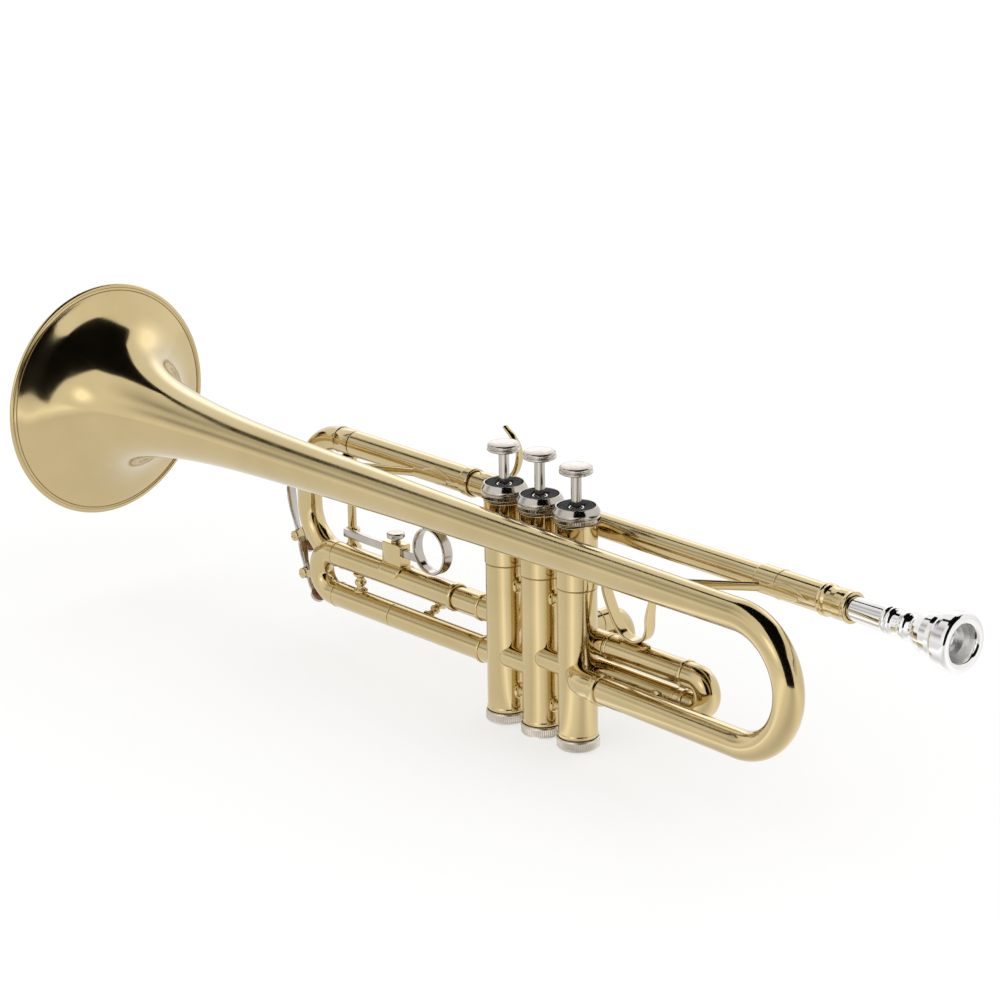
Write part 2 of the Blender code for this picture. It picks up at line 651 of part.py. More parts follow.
first_bow_r = (FIRST_UP_Z - FIRST_LOW_Z) / 2
first_path = [(FIRST_JOINT_UP_X, FIRST_Y, FIRST_UP_Z), (FIRST_BOW_X, FIRST_Y, FIRST_UP_Z)]
first_path += arc(FIRST_BOW_X, FIRST_LOW_Z + first_bow_r, first_bow_r, 70, -70, 7, FIRST_Y)
first_path += [(FIRST_BOW_X, FIRST_Y, FIRST_LOW_Z), (FIRST_JOINT_LOW_X + 0.6, FIRST_Y, FIRST_LOW_Z)]
first_path += [(FIRST_JOINT_LOW_X + 0.2, FIRST_Y, FIRST_LOW_Z), (46.0, FIRST_Y, FIRST_LOW_Z)]
first_outer = [SLEEVE_R] * (len(first_path) - 2) + [LEG_R, LEG_R]
first_inner = [5.85] * 2 + [5.6] * (len(first_path) - 6) + [5.5] * 4
pipe(
    "first_slide", first_path, -Y_AXIS, first_outer, first_inner, TUBE_SIDES, LACQUER,
    origin=at(0, FIRST_Y, FIRST_UP_Z),
)
first_inner_tube = pipe(
    "first_slide_inner_tube",
    [(x, FIRST_Y, FIRST_UP_Z) for x in (29.0, 39.8, 40.2, 74.0)],
    -Y_AXIS, [SLEEVE_R, SLEEVE_R, 5.6, 5.6], 5.0, TUBE_SIDES, LACQUER,
)
first_outer_tube = pipe(
    "first_slide_outer_tube", [(29.0, FIRST_Y, FIRST_LOW_Z), (FIRST_JOINT_LOW_X, FIRST_Y, FIRST_LOW_Z)],
    -Y_AXIS, SLEEVE_R, 5.95, TUBE_SIDES, LACQUER,
)
first_stay = lathe(
    "first_stay", at(77.0, FIRST_Y, FIRST_LOW_Z + 0.8), -Y_AXIS,
    [(6.05, 0), (6.05, 3.6), (7.4, 3.2), (8.2, 2.4), (9.6, 2.4), (10.6, 3.6), (12.3, 3.6), (12.3, 0)],
    10, None, closed=False, helper=True,
)
join(first_outer_tube, first_stay)
for tube in (first_inner_tube, first_outer_tube):
    cut(tube, casing_room["valve_1"])

# Thumb hook: a strip bent to a U on a saddle soldered to the first slide's upper sleeve
hook_y = FIRST_Y
hook = strap(
    "first_slide_hook",
    [
        (36.6, hook_y, 83.0), (38.6, hook_y, 78.0), (43.6, hook_y, 68.4), (49.0, hook_y, 61.9),
        (54.5, hook_y, 59.7), (59.5, hook_y, 59.9), (64.2, hook_y, 62.6), (66.4, hook_y, 67.0),
        (66.8, hook_y, 74.0), (68.6, hook_y, 83.0),
    ],
    Y_AXIS, (6.4, 1.4), LACQUER,
)
hook_saddle = box(
    "hook_saddle", (47.0, hook_y - 4.6, 56.4), (66.0, hook_y + 4.6, 59.9), None, at(56, hook_y, 58),
    helper=True,
)
hook_room = lathe(
    "hook_sleeve_room", at(56, FIRST_Y, FIRST_UP_Z), X_AXIS,
    [(-20, 0), (-20, SLEEVE_R + 0.25), (20, SLEEVE_R + 0.25), (20, 0)], 16, None, closed=False, helper=True,
)
join(hook, hook_saddle)
cut(hook, hook_room)

# ---------------------------------------------------------------- second valve slide

second_mid = (SECOND_UP_Z + SECOND_LOW_Z) / 2
second_r = (SECOND_UP_Z - SECOND_LOW_Z) / 2
second_legs = (11.0, SECOND_JOINT_Y + 0.3, SECOND_JOINT_Y + 0.7)
second_path = [(0, y, SECOND_UP_Z) for y in second_legs]
for k in range(7):
    a = math.radians(90 - 30 * k)
    second_path.append((0, SECOND_BOW_Y + second_r * math.cos(a), second_mid + second_r * math.sin(a)))
second_path += [(0, y, SECOND_LOW_Z) for y in reversed(second_legs)]
second_outer = [LEG_R, LEG_R] + [SLEEVE_R] * 9 + [LEG_R, LEG_R]
pipe(
    "second_slide", second_path, X_AXIS, second_outer, 5.4, TUBE_SIDES, LACQUER,
    origin=at(0, 0, SECOND_UP_Z),
)
bore_room = lathe(
    "valve_2_bore_room", at(0, 0, 0), Z_AXIS, [(1, 0), (1, BORE_R), (79.6, BORE_R), (79.6, 0)],
    VALVE_SIDES, None, closed=False, helper=True,
)
for height in (SECOND_UP_Z, SECOND_LOW_Z):
    tube = pipe(
        "second_outer_%d" % height, [(0, 9.0, height), (0, SECOND_JOINT_Y, height)],
        X_AXIS, SLEEVE_R, 5.95, TUBE_SIDES, None, helper=True,
    )
    cut(tube, bore_room)
    join(casings["valve_2"], tube)

# ---------------------------------------------------------------- hooks and braces

strap(
    "pinky_hook",
    [
        (-63.5, PIPE_Y, 112.1), (-46.0, PIPE_Y, 112.1), (-41.0, PIPE_Y, 113.0), (-37.2, PIPE_Y, 117.5),
        (-34.4, PIPE_Y, 124.0), (-35.4, PIPE_Y, 130.0), (-40.0, PIPE_Y, 135.4), (-46.4, PIPE_Y, 140.4),
    ],
    Y_AXIS,
    [(2.0, 1.0), (6.0, 1.2), (5.4, 2.6), (5.0, 2.8), (4.8, 2.6), (4.8, 2.4), (4.8, 2.2), (4.4, 1.6)],
    LACQUER,
)


def brace(name, pipe_x, bell_x, pipe_r, bell_r):
    """A Z-shaped stay between the leadpipe and the bell, with a leaf flange on each."""
    near_pipe = PIPE_Y - pipe_r - GAP - 0.6
    near_bell = BELL_Y + bell_r + GAP + 0.6
    z = (PIPE_Z + BELL_Z) / 2
    path = [
        (pipe_x[0], near_pipe, z), (pipe_x[0] - 8, near_pipe, z), (pipe_x[1], near_pipe, z),
        (pipe_x[1] - 3.5, near_pipe - 1.6, z), (bell_x[0] + 3.5, near_bell + 1.6, z),
        (bell_x[0], near_bell, z), (bell_x[1] + 8, near_bell, z), (bell_x[1], near_bell, z),
    ]
    sizes = [(2.0, 0.8), (8.0, 1.2), (7.0, 1.2), (4.6, 2.0), (4.6, 2.0), (7.0, 1.2), (8.0, 1.2), (2.0, 0.8)]
    return strap(name, path, Z_AXIS, sizes, LACQUER)


brace("front_brace", (-74.0, -103.0), (-137.0, -166.0), TUNING_OUTER_R, 12.3)
brace("rear_brace", (162.0, 134.0), (103.0, 76.0), 6.75, 8.0)

# ---------------------------------------------------------------- moving groups

GROUPS = {
    "valve_1_press": (at(25, 0, 0), ("valve_1_piston", "valve_1_stem", "valve_1_button")),
    "valve_2_press": (at(0, 0, 0), ("valve_2_piston", "valve_2_stem", "valve_2_button")),
    "valve_3_press": (at(-25, 0, 0), ("valve_3_piston", "valve_3_stem", "valve_3_button")),
    "tuning_slide_travel": (
        at(0, PIPE_Y, PIPE_Z), ("tuning_slide", "tuning_slide_brace", "tuning_water_key_saddle"),
    ),
    "third_slide_travel": (at(0, 0, THIRD_UP_Z), ("third_slide", "ring_block", "third_water_key_saddle")),
    "first_slide_travel": (at(0, FIRST_Y, FIRST_UP_Z), ("first_slide", "first_slide_hook")),
}
for group, (where, members) in GROUPS.items():
    hub = bpy.data.objects.new(group, None)
    hub.location = where
    hub.empty_display_size = 0.01
    bpy.context.scene.collection.objects.link(hub)
    for member in members:
        piece = bpy.data.objects[member]
        piece.location = piece.location - where
        piece.parent = hub
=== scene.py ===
"""The look of a three-valve trumpet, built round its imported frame.

Lengths are in millimetres, heights measured up from the bottom caps' faces, until at() turns
them into metres in the row frame. -X is out of the bell, -Y the bell's side, +Z up.
"""

import math
import random

import bmesh
import bpy
from mathutils import Matrix, Vector


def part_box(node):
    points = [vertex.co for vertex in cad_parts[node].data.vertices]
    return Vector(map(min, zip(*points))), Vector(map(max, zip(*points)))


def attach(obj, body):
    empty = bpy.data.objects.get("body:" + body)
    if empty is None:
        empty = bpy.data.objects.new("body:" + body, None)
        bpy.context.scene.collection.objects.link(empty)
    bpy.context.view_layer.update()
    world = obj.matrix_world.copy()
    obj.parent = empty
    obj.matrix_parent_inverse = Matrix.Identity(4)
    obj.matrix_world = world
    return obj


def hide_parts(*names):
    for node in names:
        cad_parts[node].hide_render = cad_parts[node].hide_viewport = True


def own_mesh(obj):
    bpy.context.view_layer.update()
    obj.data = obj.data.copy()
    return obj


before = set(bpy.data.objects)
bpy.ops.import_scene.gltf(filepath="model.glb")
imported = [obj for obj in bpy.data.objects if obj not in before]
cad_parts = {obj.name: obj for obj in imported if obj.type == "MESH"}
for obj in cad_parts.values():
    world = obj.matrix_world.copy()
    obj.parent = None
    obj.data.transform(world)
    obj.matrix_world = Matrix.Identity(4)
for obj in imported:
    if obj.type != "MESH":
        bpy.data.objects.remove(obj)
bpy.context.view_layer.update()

MM = 0.001
X = Vector((1, 0, 0))
Y = Vector((0, 1, 0))
Z = Vector((0, 0, 1))
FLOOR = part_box("valve_1_bottom_cap")[0].z / MM


def at(x, y, z):
    """A place in millimetres, height from the caps, as metres in the row frame."""
    return Vector((x, y, z + FLOOR)) * MM


def middle(node):
    """The middle of a CAD node's box, in this script's millimetres."""
    low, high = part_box(node)
    place = (low + high) / 2 / MM
    return Vector((place.x, place.y, place.z - FLOOR))


# ---------------------------------------------------------------- main sizes, from the frame

VALVES = {name: middle(name + "_bottom_cap").x for name in ("valve_1", "valve_2", "valve_3")}
BUTTON_TOP = {name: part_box(name + "_button")[1].z / MM - FLOOR for name in VALVES}
WALL_R = 9.0  # where a tube's end meets its casing, inside the casing's wall
BELL = middle("bell_rim_wire")
RIM_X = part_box("bell_rim_wire")[1].x / MM + 0.3
PIPE = middle("leadpipe")
SLEEVE_R = 6.2  # the outside of a slide's sleeves
SLEEVE_BORE = 5.8
LEG_R = 5.75  # the outside of a leg that runs in a sleeve
THIRD_UP = middle("third_slide_inner_tube").z
THIRD_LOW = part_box("third_slide_outer_tube")[0].z / MM - FLOOR + SLEEVE_R
THIRD_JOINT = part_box("third_slide_outer_tube")[0].x / MM
FIRST = middle("first_slide_inner_tube")
FIRST_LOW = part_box("first_slide_outer_tube")[0].z / MM - FLOOR + SLEEVE_R
TUNING_LOW = middle("tuning_lower_outer_tube").z
FIRST_JOINT = 86.0
SECOND_UP, SECOND_LOW = 46.0, 26.0
TUNING_R = 6.6  # the tuning slide's outer tubes

# ---------------------------------------------------------------- materials


def new_material(name):
    """A material with nodes, and its tree."""
    made = bpy.data.materials.new(name)
    made.use_nodes = True
    return made, made.node_tree


def node(tree, kind, x, y, sockets=None, **settings):
    """A shader node at a place in its tree, its settings and then its sockets filled in."""
    made = tree.nodes.new(kind)
    made.location = (x, y)
    for key, value in settings.items():
        setattr(made, key, value)
    for key, value in (sockets or {}).items():
        made.inputs[key].default_value = value
    return made


def noise(tree, scale, detail, low, high, y, stretch=(1, 1, 1)):
    """A noise in object space, mapped to a range of numbers."""
    place = node(tree, "ShaderNodeTexCoord", -1100, y)
    scaled = node(tree, "ShaderNodeMapping", -900, y, {"Scale": stretch})
    cloud = node(tree, "ShaderNodeTexNoise", -700, y, {"Scale": scale, "Detail": detail})
    limits = {"From Min": 0.3, "From Max": 0.7, "To Min": low, "To Max": high}
    ranged = node(tree, "ShaderNodeMapRange", -500, y, limits)
    tree.links.new(place.outputs["Object"], scaled.inputs["Vector"])
    tree.links.new(scaled.outputs["Vector"], cloud.inputs["Vector"])
    tree.links.new(cloud.outputs["Fac"], ranged.inputs["Value"])
    return ranged.outputs["Result"]


def two_tone(tree, factor, dark, light, y):
    """A colour between two by a factor."""
    mix = node(tree, "ShaderNodeMix", -250, y, {"A": (*dark, 1), "B": (*light, 1)}, data_type="RGBA")
    tree.links.new(factor, mix.inputs["Factor"])
    return mix.outputs["Result"]


def look(
    name, dark, light, rough, metallic=0.0, patches=40.0, bump=(600.0, 0.02), stretch=(1, 1, 1), **sockets
):
    """A material whose colour and roughness wander between two values, with a fine relief."""
    made, tree = new_material(name)
    shader = tree.nodes["Principled BSDF"]
    shader.inputs["Metallic"].default_value = metallic
    color = two_tone(tree, noise(tree, patches, 4, 0, 1, 300, stretch), dark, light, 300)
    tree.links.new(color, shader.inputs["Base Color"])
    tree.links.new(noise(tree, patches * 3, 5, rough[0], rough[1], 0, stretch), shader.inputs["Roughness"])
    relief = node(tree, "ShaderNodeBump", -250, -300, {"Strength": bump[1], "Distance": 0.0004})
    tree.links.new(noise(tree, bump[0], 3, 0, 1, -300, stretch), relief.inputs["Height"])
    tree.links.new(relief.outputs["Normal"], shader.inputs["Normal"])
    for socket, value in sockets.items():
        shader.inputs[socket.replace("_", " ")].default_value = value
    return made


LOOKS = {
    "lacquer": look(
        "clear_lacquered_brass", (0.575, 0.448, 0.220), (0.655, 0.518, 0.268), (0.09, 0.14),
        metallic=1.0, patches=25.0, bump=(900.0, 0.01), Coat_Weight=0.5, Coat_Roughness=0.03,
    ),
    "nickel": look(
        "bright_nickel", (0.46, 0.42, 0.37), (0.58, 0.54, 0.49), (0.08, 0.16),
        metallic=1.0, patches=60.0, bump=(1500.0, 0.015),
    ),
    "satin": look(
        "satin_nickel", (0.56, 0.50, 0.43), (0.70, 0.64, 0.56), (0.24, 0.36),
        metallic=1.0, patches=90.0, bump=(1500.0, 0.05),
    ),
    "silver": look(
        "polished_silver", (0.82, 0.81, 0.79), (0.90, 0.89, 0.88), (0.04, 0.09),
        metallic=1.0, patches=50.0, bump=(1500.0, 0.01),
    ),
    "brushed": look(
        "brushed_silver", (0.84, 0.83, 0.80), (0.93, 0.92, 0.90), (0.34, 0.46),
        metallic=1.0, patches=80.0, bump=(1500.0, 0.03), stretch=(1, 6, 6),
    ),
    "steel": look(
        "drawn_steel", (0.42, 0.42, 0.43), (0.58, 0.58, 0.59), (0.22, 0.38),
        metallic=1.0, patches=90.0, bump=(2500.0, 0.06), stretch=(1, 1, 8),
    ),
    "felt": look(
        "black_felt", (0.004, 0.004, 0.005), (0.028, 0.027, 0.03), (0.8, 1.0),
        patches=900.0, bump=(2600.0, 0.9), Sheen_Weight=0.12, Sheen_Roughness=0.6,
    ),
    "cork": look(
        "red_brown_cork", (0.10, 0.032, 0.015), (0.30, 0.11, 0.045), (0.65, 0.9),
        patches=700.0, bump=(1300.0, 0.6),
    ),
    "nylon": look(
        "off_white_nylon", (0.78, 0.75, 0.68), (0.86, 0.84, 0.78), (0.4, 0.5),
        patches=80.0, bump=(900.0, 0.03),
    ),
    "pearl": look(
        "mother_of_pearl", (0.58, 0.49, 0.43), (0.72, 0.65, 0.59), (0.10, 0.20),
        patches=220.0, bump=(500.0, 0.02), stretch=(1, 2.5, 1), Coat_Weight=0.8, Coat_Roughness=0.04,
        Sheen_Weight=0.2,
    ),
    "seam": look(
        "shadowed_seam", (0.30, 0.20, 0.08), (0.42, 0.29, 0.13), (0.35, 0.5),
        metallic=1.0, patches=120.0, bump=(900.0, 0.05),
    ),
}

# ---------------------------------------------------------------- meshes


def make_piece(name, shape, look_name, body, stands_for=(), sharp=38):
    """A piece, smooth but for its sharp edges, that rides on a body and may stand for CAD nodes."""
    mesh = bpy.data.meshes.new(name)
    verts, faces = shape
    mesh.from_pydata(verts, [], faces)
    work = bmesh.new()
    work.from_mesh(mesh)
    bmesh.ops.remove_doubles(work, verts=work.verts, dist=1e-7)
    bmesh.ops.recalc_face_normals(work, faces=work.faces)
    if work.calc_volume(signed=True) < 0:
        bmesh.ops.reverse_faces(work, faces=work.faces)
    work.to_mesh(mesh)
    work.free()
    for face in mesh.polygons:
        face.use_smooth = True
    mesh.set_sharp_from_angle(angle=math.radians(sharp))
    mesh.materials.append(LOOKS[look_name])
    made = bpy.data.objects.new(name, mesh)
    bpy.context.scene.collection.objects.link(made)
    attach(made, body)
    if stands_for:
        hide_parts(*([stands_for] if isinstance(stands_for, str) else stands_for))
    return made


def bridge(rings, closed):
    """Faces between neighbouring rings of equal length, with flat ends unless closed."""
    count = len(rings[0])
    verts = [v for ring in rings for v in ring]
    faces = []
    last = len(rings) if closed else len(rings) - 1
    for i in range(last):
        a, b = i * count, (i + 1) % len(rings) * count
        for k in range(count):
            k2 = (k + 1) % count
            faces.append((a + k, a + k2, b + k2, b + k))
    if not closed:
        faces.append(tuple(range(count)))
        faces.append(tuple((len(rings) - 1) * count + k for k in range(count)))
    return verts, faces


def circle(center, side, up, radius, sides):
    """Points round a center; a radius of nothing becomes a pinhole, so that rings stay equal."""
    turn = 2 * math.pi / sides
    radius = max(radius, 0.002) * MM
    return [center + radius * (math.cos(turn * k) * side + math.sin(turn * k) * up) for k in range(sides)]


def across(axis):
    """Two directions square to an axis and to each other."""
    side = Y if abs(axis.dot(Y)) < 0.9 else Z
    up = axis.cross(side).normalized()
    return up.cross(axis).normalized(), up


def propped(points, closed, least=1.8, near=0.3):
    """Adds a point close to each end of a long straight run, so that its shading stays even."""
    found = []
    count = len(points)
    for i, a in enumerate(points):
        found.append(a)
        if i == count - 1 and not closed:
            break
        b = points[(i + 1) % count]
        length = (b - a).length
        if length > least:
            found += [a.lerp(b, near / length), b.lerp(a, near / length)]
    return found


def fillet(profile, radius, closed, steps=3):
    """Rounds the corners of a polyline by up to `radius`."""
    found = []
    count = len(profile)
    for i, corner in enumerate(profile):
        corner = Vector(corner)
        if not closed and i in (0, count - 1):
            found.append(corner)
            continue
        back, ahead = Vector(profile[i - 1]) - corner, Vector(profile[(i + 1) % count]) - corner
        if min(back.length, ahead.length) < 1e-6:
            found.append(corner)
            continue
        angle = back.angle(ahead)
        if angle > math.radians(172):
            found.append(corner)
            continue
        reach = min(radius / math.tan(max(angle, 0.2) / 2), 0.46 * back.length, 0.46 * ahead.length)
        start, end = corner + back.normalized() * reach, corner + ahead.normalized() * reach
        for k in range(steps + 1):
            t = k / steps
            found.append((1 - t) ** 2 * start + 2 * t * (1 - t) * corner + t * t * end)
    return propped(found, closed)


def lathe(
    name, origin, axis, profile, look_name, body, stands_for=(), closed=True, sides=72, soft=0.25, sharp=38
):
    """Turns (distance along the axis, radius) pairs, with rounded corners, about the axis."""
    side, up = across(axis)
    rings = [
        circle(origin + axis * a * MM, side, up, r, sides) for a, r in fillet(profile, soft, closed)
    ]
    return make_piece(name, bridge(rings, closed), look_name, body, stands_for, sharp)


def ferrule(name, origin, axis, radius, width, proud, body):
    """A low rounded ring round a tube."""
    half = width / 2
    profile = [
        (-half, radius - 0.3), (-half, radius + proud * 0.5), (-half * 0.5, radius + proud),
        (half * 0.5, radius + proud), (half, radius + proud * 0.5), (half, radius - 0.3),
    ]
    return lathe(name, origin, axis, profile, "lacquer", body, soft=0.2, sides=56)


def post(name, origin, axis, profile, body, stands_for=(), soft=0.4):
    """A turned brace between two tubes."""
    lathe(name, origin, axis, profile, "lacquer", body, stands_for, closed=False, sides=40, soft=soft)


def carried(path):
    """A (side, up) pair at each point, turned as little as possible along the path."""
    ends = [path[0], *path, path[-1]]
    ways = [(ends[i + 2] - ends[i]).normalized() for i in range(len(path))]
    side, _ = across(ways[0])
    frames = []
    for way in ways:
        side = (side - side.dot(way) * way).normalized()
        frames.append((side, way.cross(side).normalized()))
    return ways, frames


def saddle_cut(ring, way, valve_x):
    """Moves a tube's end ring along its own axis to the wall of a valve casing."""
    moved = []
    flat = Vector((way.x, way.y, 0)).normalized()
    for point in ring:
        off = Vector((point.x - valve_x * MM, point.y, 0))
        along = off.dot(flat)
        beside = (off - along * flat).length
        reach = math.sqrt(max((WALL_R * MM) ** 2 - beside ** 2, 0))
        moved.append(point + flat * (-reach - along))
    return moved


def tube(
    name, path, outer, inner, look_name, body, stands_for=(), sides=48, into=None, out_of=None
):
    """A hollow tube along a path. `into` and `out_of` name the valve whose casing an end meets."""
    outer = outer if isinstance(outer, list) else [outer] * len(path)
    inner = inner if isinstance(inner, list) else [inner] * len(path)
    stations = propped([Vector((*p[:3], o, i)) for p, o, i in zip(path, outer, inner)], False, 14.0)
    points = [at(*s[:3]) for s in stations]
    outer, inner = [s[3] for s in stations], [s[4] for s in stations]
    ways, frames = carried(points)
    skins = []
    for radii in (outer, inner):
        rings = [circle(p, side, up, r, sides) for p, r, (side, up) in zip(points, radii, frames)]
        if into:
            rings[-1] = saddle_cut(rings[-1], ways[-1], VALVES[into])
        if out_of:
            rings[0] = saddle_cut(rings[0], -ways[0], VALVES[out_of])
        skins.append(rings)
    return make_piece(name, bridge(skins[0] + skins[1][::-1], True), look_name, body, stands_for)


def arc(cx, cz, radius, start, end, y, step=5):
    """Points of an arc in an XZ plane, angles in degrees from +X toward +Z."""
    count = max(2, round(abs(end - start) / step))
    found = []
    for k in range(count + 1):
        a = math.radians(start + (end - start) * k / count)
        found.append((cx + radius * math.cos(a), y, cz + radius * math.sin(a)))
    return found


def spline(points, steps=6):
    """Catmull-Rom through tuples of any length."""
    points = [Vector(p) for p in points]
    ends = [2 * points[0] - points[1], *points, 2 * points[-1] - points[-2]]
    found = []
    for i in range(len(points) - 1):
        a, b, c, d = ends[i : i + 4]
        for k in range(steps):
            t = k / steps
            bend, twist = 2 * a - 5 * b + 4 * c - d, 3 * b - 3 * c + d - a
            found.append(0.5 * (2 * b + (c - a) * t + bend * t * t + twist * t ** 3))
    return found + [points[-1]]


def strip(name, path, width_axis, sizes, look_name, body, stands_for=(), power=5.0, sides=20, steps=6):
    """A bent strip: a rounded section, (width, thickness) at each point, swept along a smooth path."""
    sizes = sizes if isinstance(sizes, list) else [sizes] * len(path)
    mixed = spline([Vector((*p, *s)) for p, s in zip(path, sizes)], steps)
    points = [at(*m[:3]) for m in mixed]
    ends = [points[0], *points, points[-1]]
    rings = []
    for i, (point, m) in enumerate(zip(points, mixed)):
        way = (ends[i + 2] - ends[i]).normalized()
        thin = way.cross(width_axis).normalized()
        wide = thin.cross(way).normalized()
        ring = []
        for k in range(sides):
            a = 2 * math.pi * (k + 0.5) / sides
            c, s = math.cos(a), math.sin(a)
            u = math.copysign(abs(c) ** (2 / power), c) * m[3] / 2
            v = math.copysign(abs(s) ** (2 / power), s) * m[4] / 2
            ring.append(point + (wide * u + thin * v) * MM)
        rings.append(ring)
    return make_piece(name, bridge(rings, False), look_name, body, stands_for)


def leaf(name, origin, axis, radius, facing, length, width, body, thick, point):
    """A thin flange that hugs a tube on its `facing` side; a higher `point` makes it blunter."""
    facing = (facing - facing.dot(axis) * axis).normalized()
    beside = axis.cross(facing)
    rows, columns = 18, 10
    skins = []
    for lift in (thick, -0.15):
        grid = []
        for i in range(rows + 1):
            s = -1 + 2 * i / rows
            half = max(width / 2 * (1 - abs(s) ** point), 0.12)
            row = []
            for j in range(columns + 1):
                a = half / radius * (-1 + 2 * j / columns)
                edge = 1 if lift < 0 else 1 - 0.35 * abs(-1 + 2 * j / columns) ** 6
                out = (radius + lift * edge) * MM
                outward = facing * math.cos(a) + beside * math.sin(a)
                row.append(origin + axis * s * length / 2 * MM + outward * out)
            grid.append(row)
        skins.append(grid)
    rings = [top + bottom[::-1] for top, bottom in zip(*skins)]
    return make_piece(name, bridge(rings, False), "lacquer", body, sharp=50)


def knurled(name, origin, profile, band, teeth, depth, look_name, body, stands_for):
    """A piece turned about Z; its wall in the band (low, high, least radius) carries a knurl."""
    side, up = across(Z)
    rows = 9
    rounded = fillet(profile, 0.25, True)
    cut = []
    for a, b in zip(rounded, rounded[1:] + rounded[:1]):
        cut.append(a)
        on_band = all(band[0] - 0.01 <= p[0] <= band[1] + 0.01 and p[1] >= band[2] for p in (a, b))
        if on_band and abs(a[0] - b[0]) > 0.5:
            cut += [a + (b - a) * k / rows for k in range(1, rows)]
    sides = teeth * 4
    rings = []
    for height, radius in cut:
        ring = []
        inside = band[0] + 0.15 < height < band[1] - 0.15 and radius >= band[2]
        for k in range(sides):
            a = 2 * math.pi * k / sides
            r = radius
            if inside:
                r -= depth * (0.5 - 0.5 * math.cos(teeth * a))
            ring.append(origin + (Z * height + r * (math.cos(a) * side + math.sin(a) * up)) * MM)
        rings.append(ring)
    return make_piece(name, bridge(rings, True), look_name, body, stands_for)


def screw_head(name, place, axis, radius, height, look_name, body):
    """A low round head with a driver's slot, its slot cut as a trough of the face."""
    side, up = across(axis)
    sides = 48
    rim = [(0, radius), (height * 0.7, radius), (height, radius * 0.86), (height, radius * 0.5)]
    rings = [circle(place + axis * d * MM, side, up, r, sides) for d, r in fillet(rim, 0.15, False)]
    for share in (0.4, 0.25, 0.1, 0.0):
        rings.append(circle(place + axis * height * MM, side, up, radius * share, sides))
    for ring in rings:
        for point in ring:
            off = point - place
            in_slot = abs(off.dot(side)) < radius * 0.17 * MM
            if in_slot and off.dot(axis) > height * 0.6 * MM:
                point -= axis * height * 0.35 * MM
    rings.insert(0, circle(place, side, up, radius * 0.5, sides))
    return make_piece(name, bridge(rings, False), look_name, body)


# ---------------------------------------------------------------- valves


def casing(valve, foot):
    """The two barrels of a casing, one over the other, and the line where they meet."""
    lathe(
        valve + "_casing_fine", foot, Z,
        [
            (2.0, 8.8), (2.0, 9.2), (5.8, 9.2), (5.8, 9.5), (6.6, 9.75), (7.3, 9.75), (7.8, 9.5), (79.2, 9.5),
            (79.3, 9.25), (79.9, 9.25), (80.0, 9.95), (110.4, 9.95), (110.7, 10.2), (111.5, 10.2),
            (111.7, 9.3), (114.6, 9.3), (114.6, 8.85), (79.6, 8.85), (79.6, 8.55), (2.0, 8.55),
        ],
        "lacquer", "horn", valve + "_casing", sides=96, soft=0.12,
    )
    lathe(
        valve + "_joint_ring", foot, Z, [(79.3, 9.2), (79.3, 9.6), (79.75, 9.6), (79.75, 9.2)],
        "seam", "horn", sides=96, soft=0.1,
    )


def caps(valve, foot):
    """The knurled cap under a casing, the one on top, and the hub that its stem passes through."""
    knurled(
        valve + "_bottom_cap_fine", foot,
        [(0, 1.2), (0, 9.4), (0.9, 10.25), (4.6, 10.35), (5.2, 10.1), (5.6, 9.6), (1.7, 9.5), (1.7, 1.2)],
        (0.9, 4.6, 9.9), 64, 0.32, "satin", "horn", valve + "_bottom_cap",
    )
    knurled(
        valve + "_top_cap_fine", foot,
        [
            (112.0, 10.3), (112.2, 11.0), (114.4, 11.1), (114.7, 10.6), (115.1, 10.6), (115.4, 11.15),
            (116.6, 11.1), (118.4, 10.1), (119.2, 9.75), (119.2, 9.15), (117.0, 9.1), (117.0, 2.9),
            (115.2, 2.9), (115.2, 9.6), (112.0, 9.6),
        ],
        (112.2, 114.4, 10.8), 90, 0.2, "nickel", "horn", valve + "_top_cap",
    )
    lathe(
        valve + "_cap_hub", foot, Z,
        [(116.9, 2.9), (118.3, 2.95), (118.3, 3.6), (117.9, 4.0), (116.9, 4.1)],
        "nickel", "horn", sides=48,
    )


def felt(valve, foot):
    """A ragged felt in the top cap's dish, with a lobed hole round the stem."""
    sides, outside, ragged = 96, 8.85, 0.16
    clumps = random.Random(valve)
    section = (
        (117.15, 0.97, 0.0), (117.3, 1.0, 0.0), (118.6, 1.0, ragged), (118.95, 0.93, ragged),
        (119.0, 0.8, ragged), (119.0, 0.6, ragged), (118.95, 0.3, ragged), (118.8, 0.0, 0.0),
        (117.15, 0.0, 0.0),
    )
    rings = []
    for height, share, rough in section:
        ring = []
        for k in range(sides):
            a = 2 * math.pi * k / sides
            hole = 4.2 + 1.3 * max(0.0, math.cos(4 * a + 0.6)) ** 3 + 0.25 * math.sin(11 * a)
            r = hole + (outside - hole) * share - rough * clumps.random()
            rise = height + rough * clumps.uniform(-1, 1)
            ring.append(foot + Vector((r * math.cos(a), r * math.sin(a), rise)) * MM)
        rings.append(ring)
    make_piece(valve + "_felt_fine", bridge(rings, True), "felt", "horn", valve + "_felt")


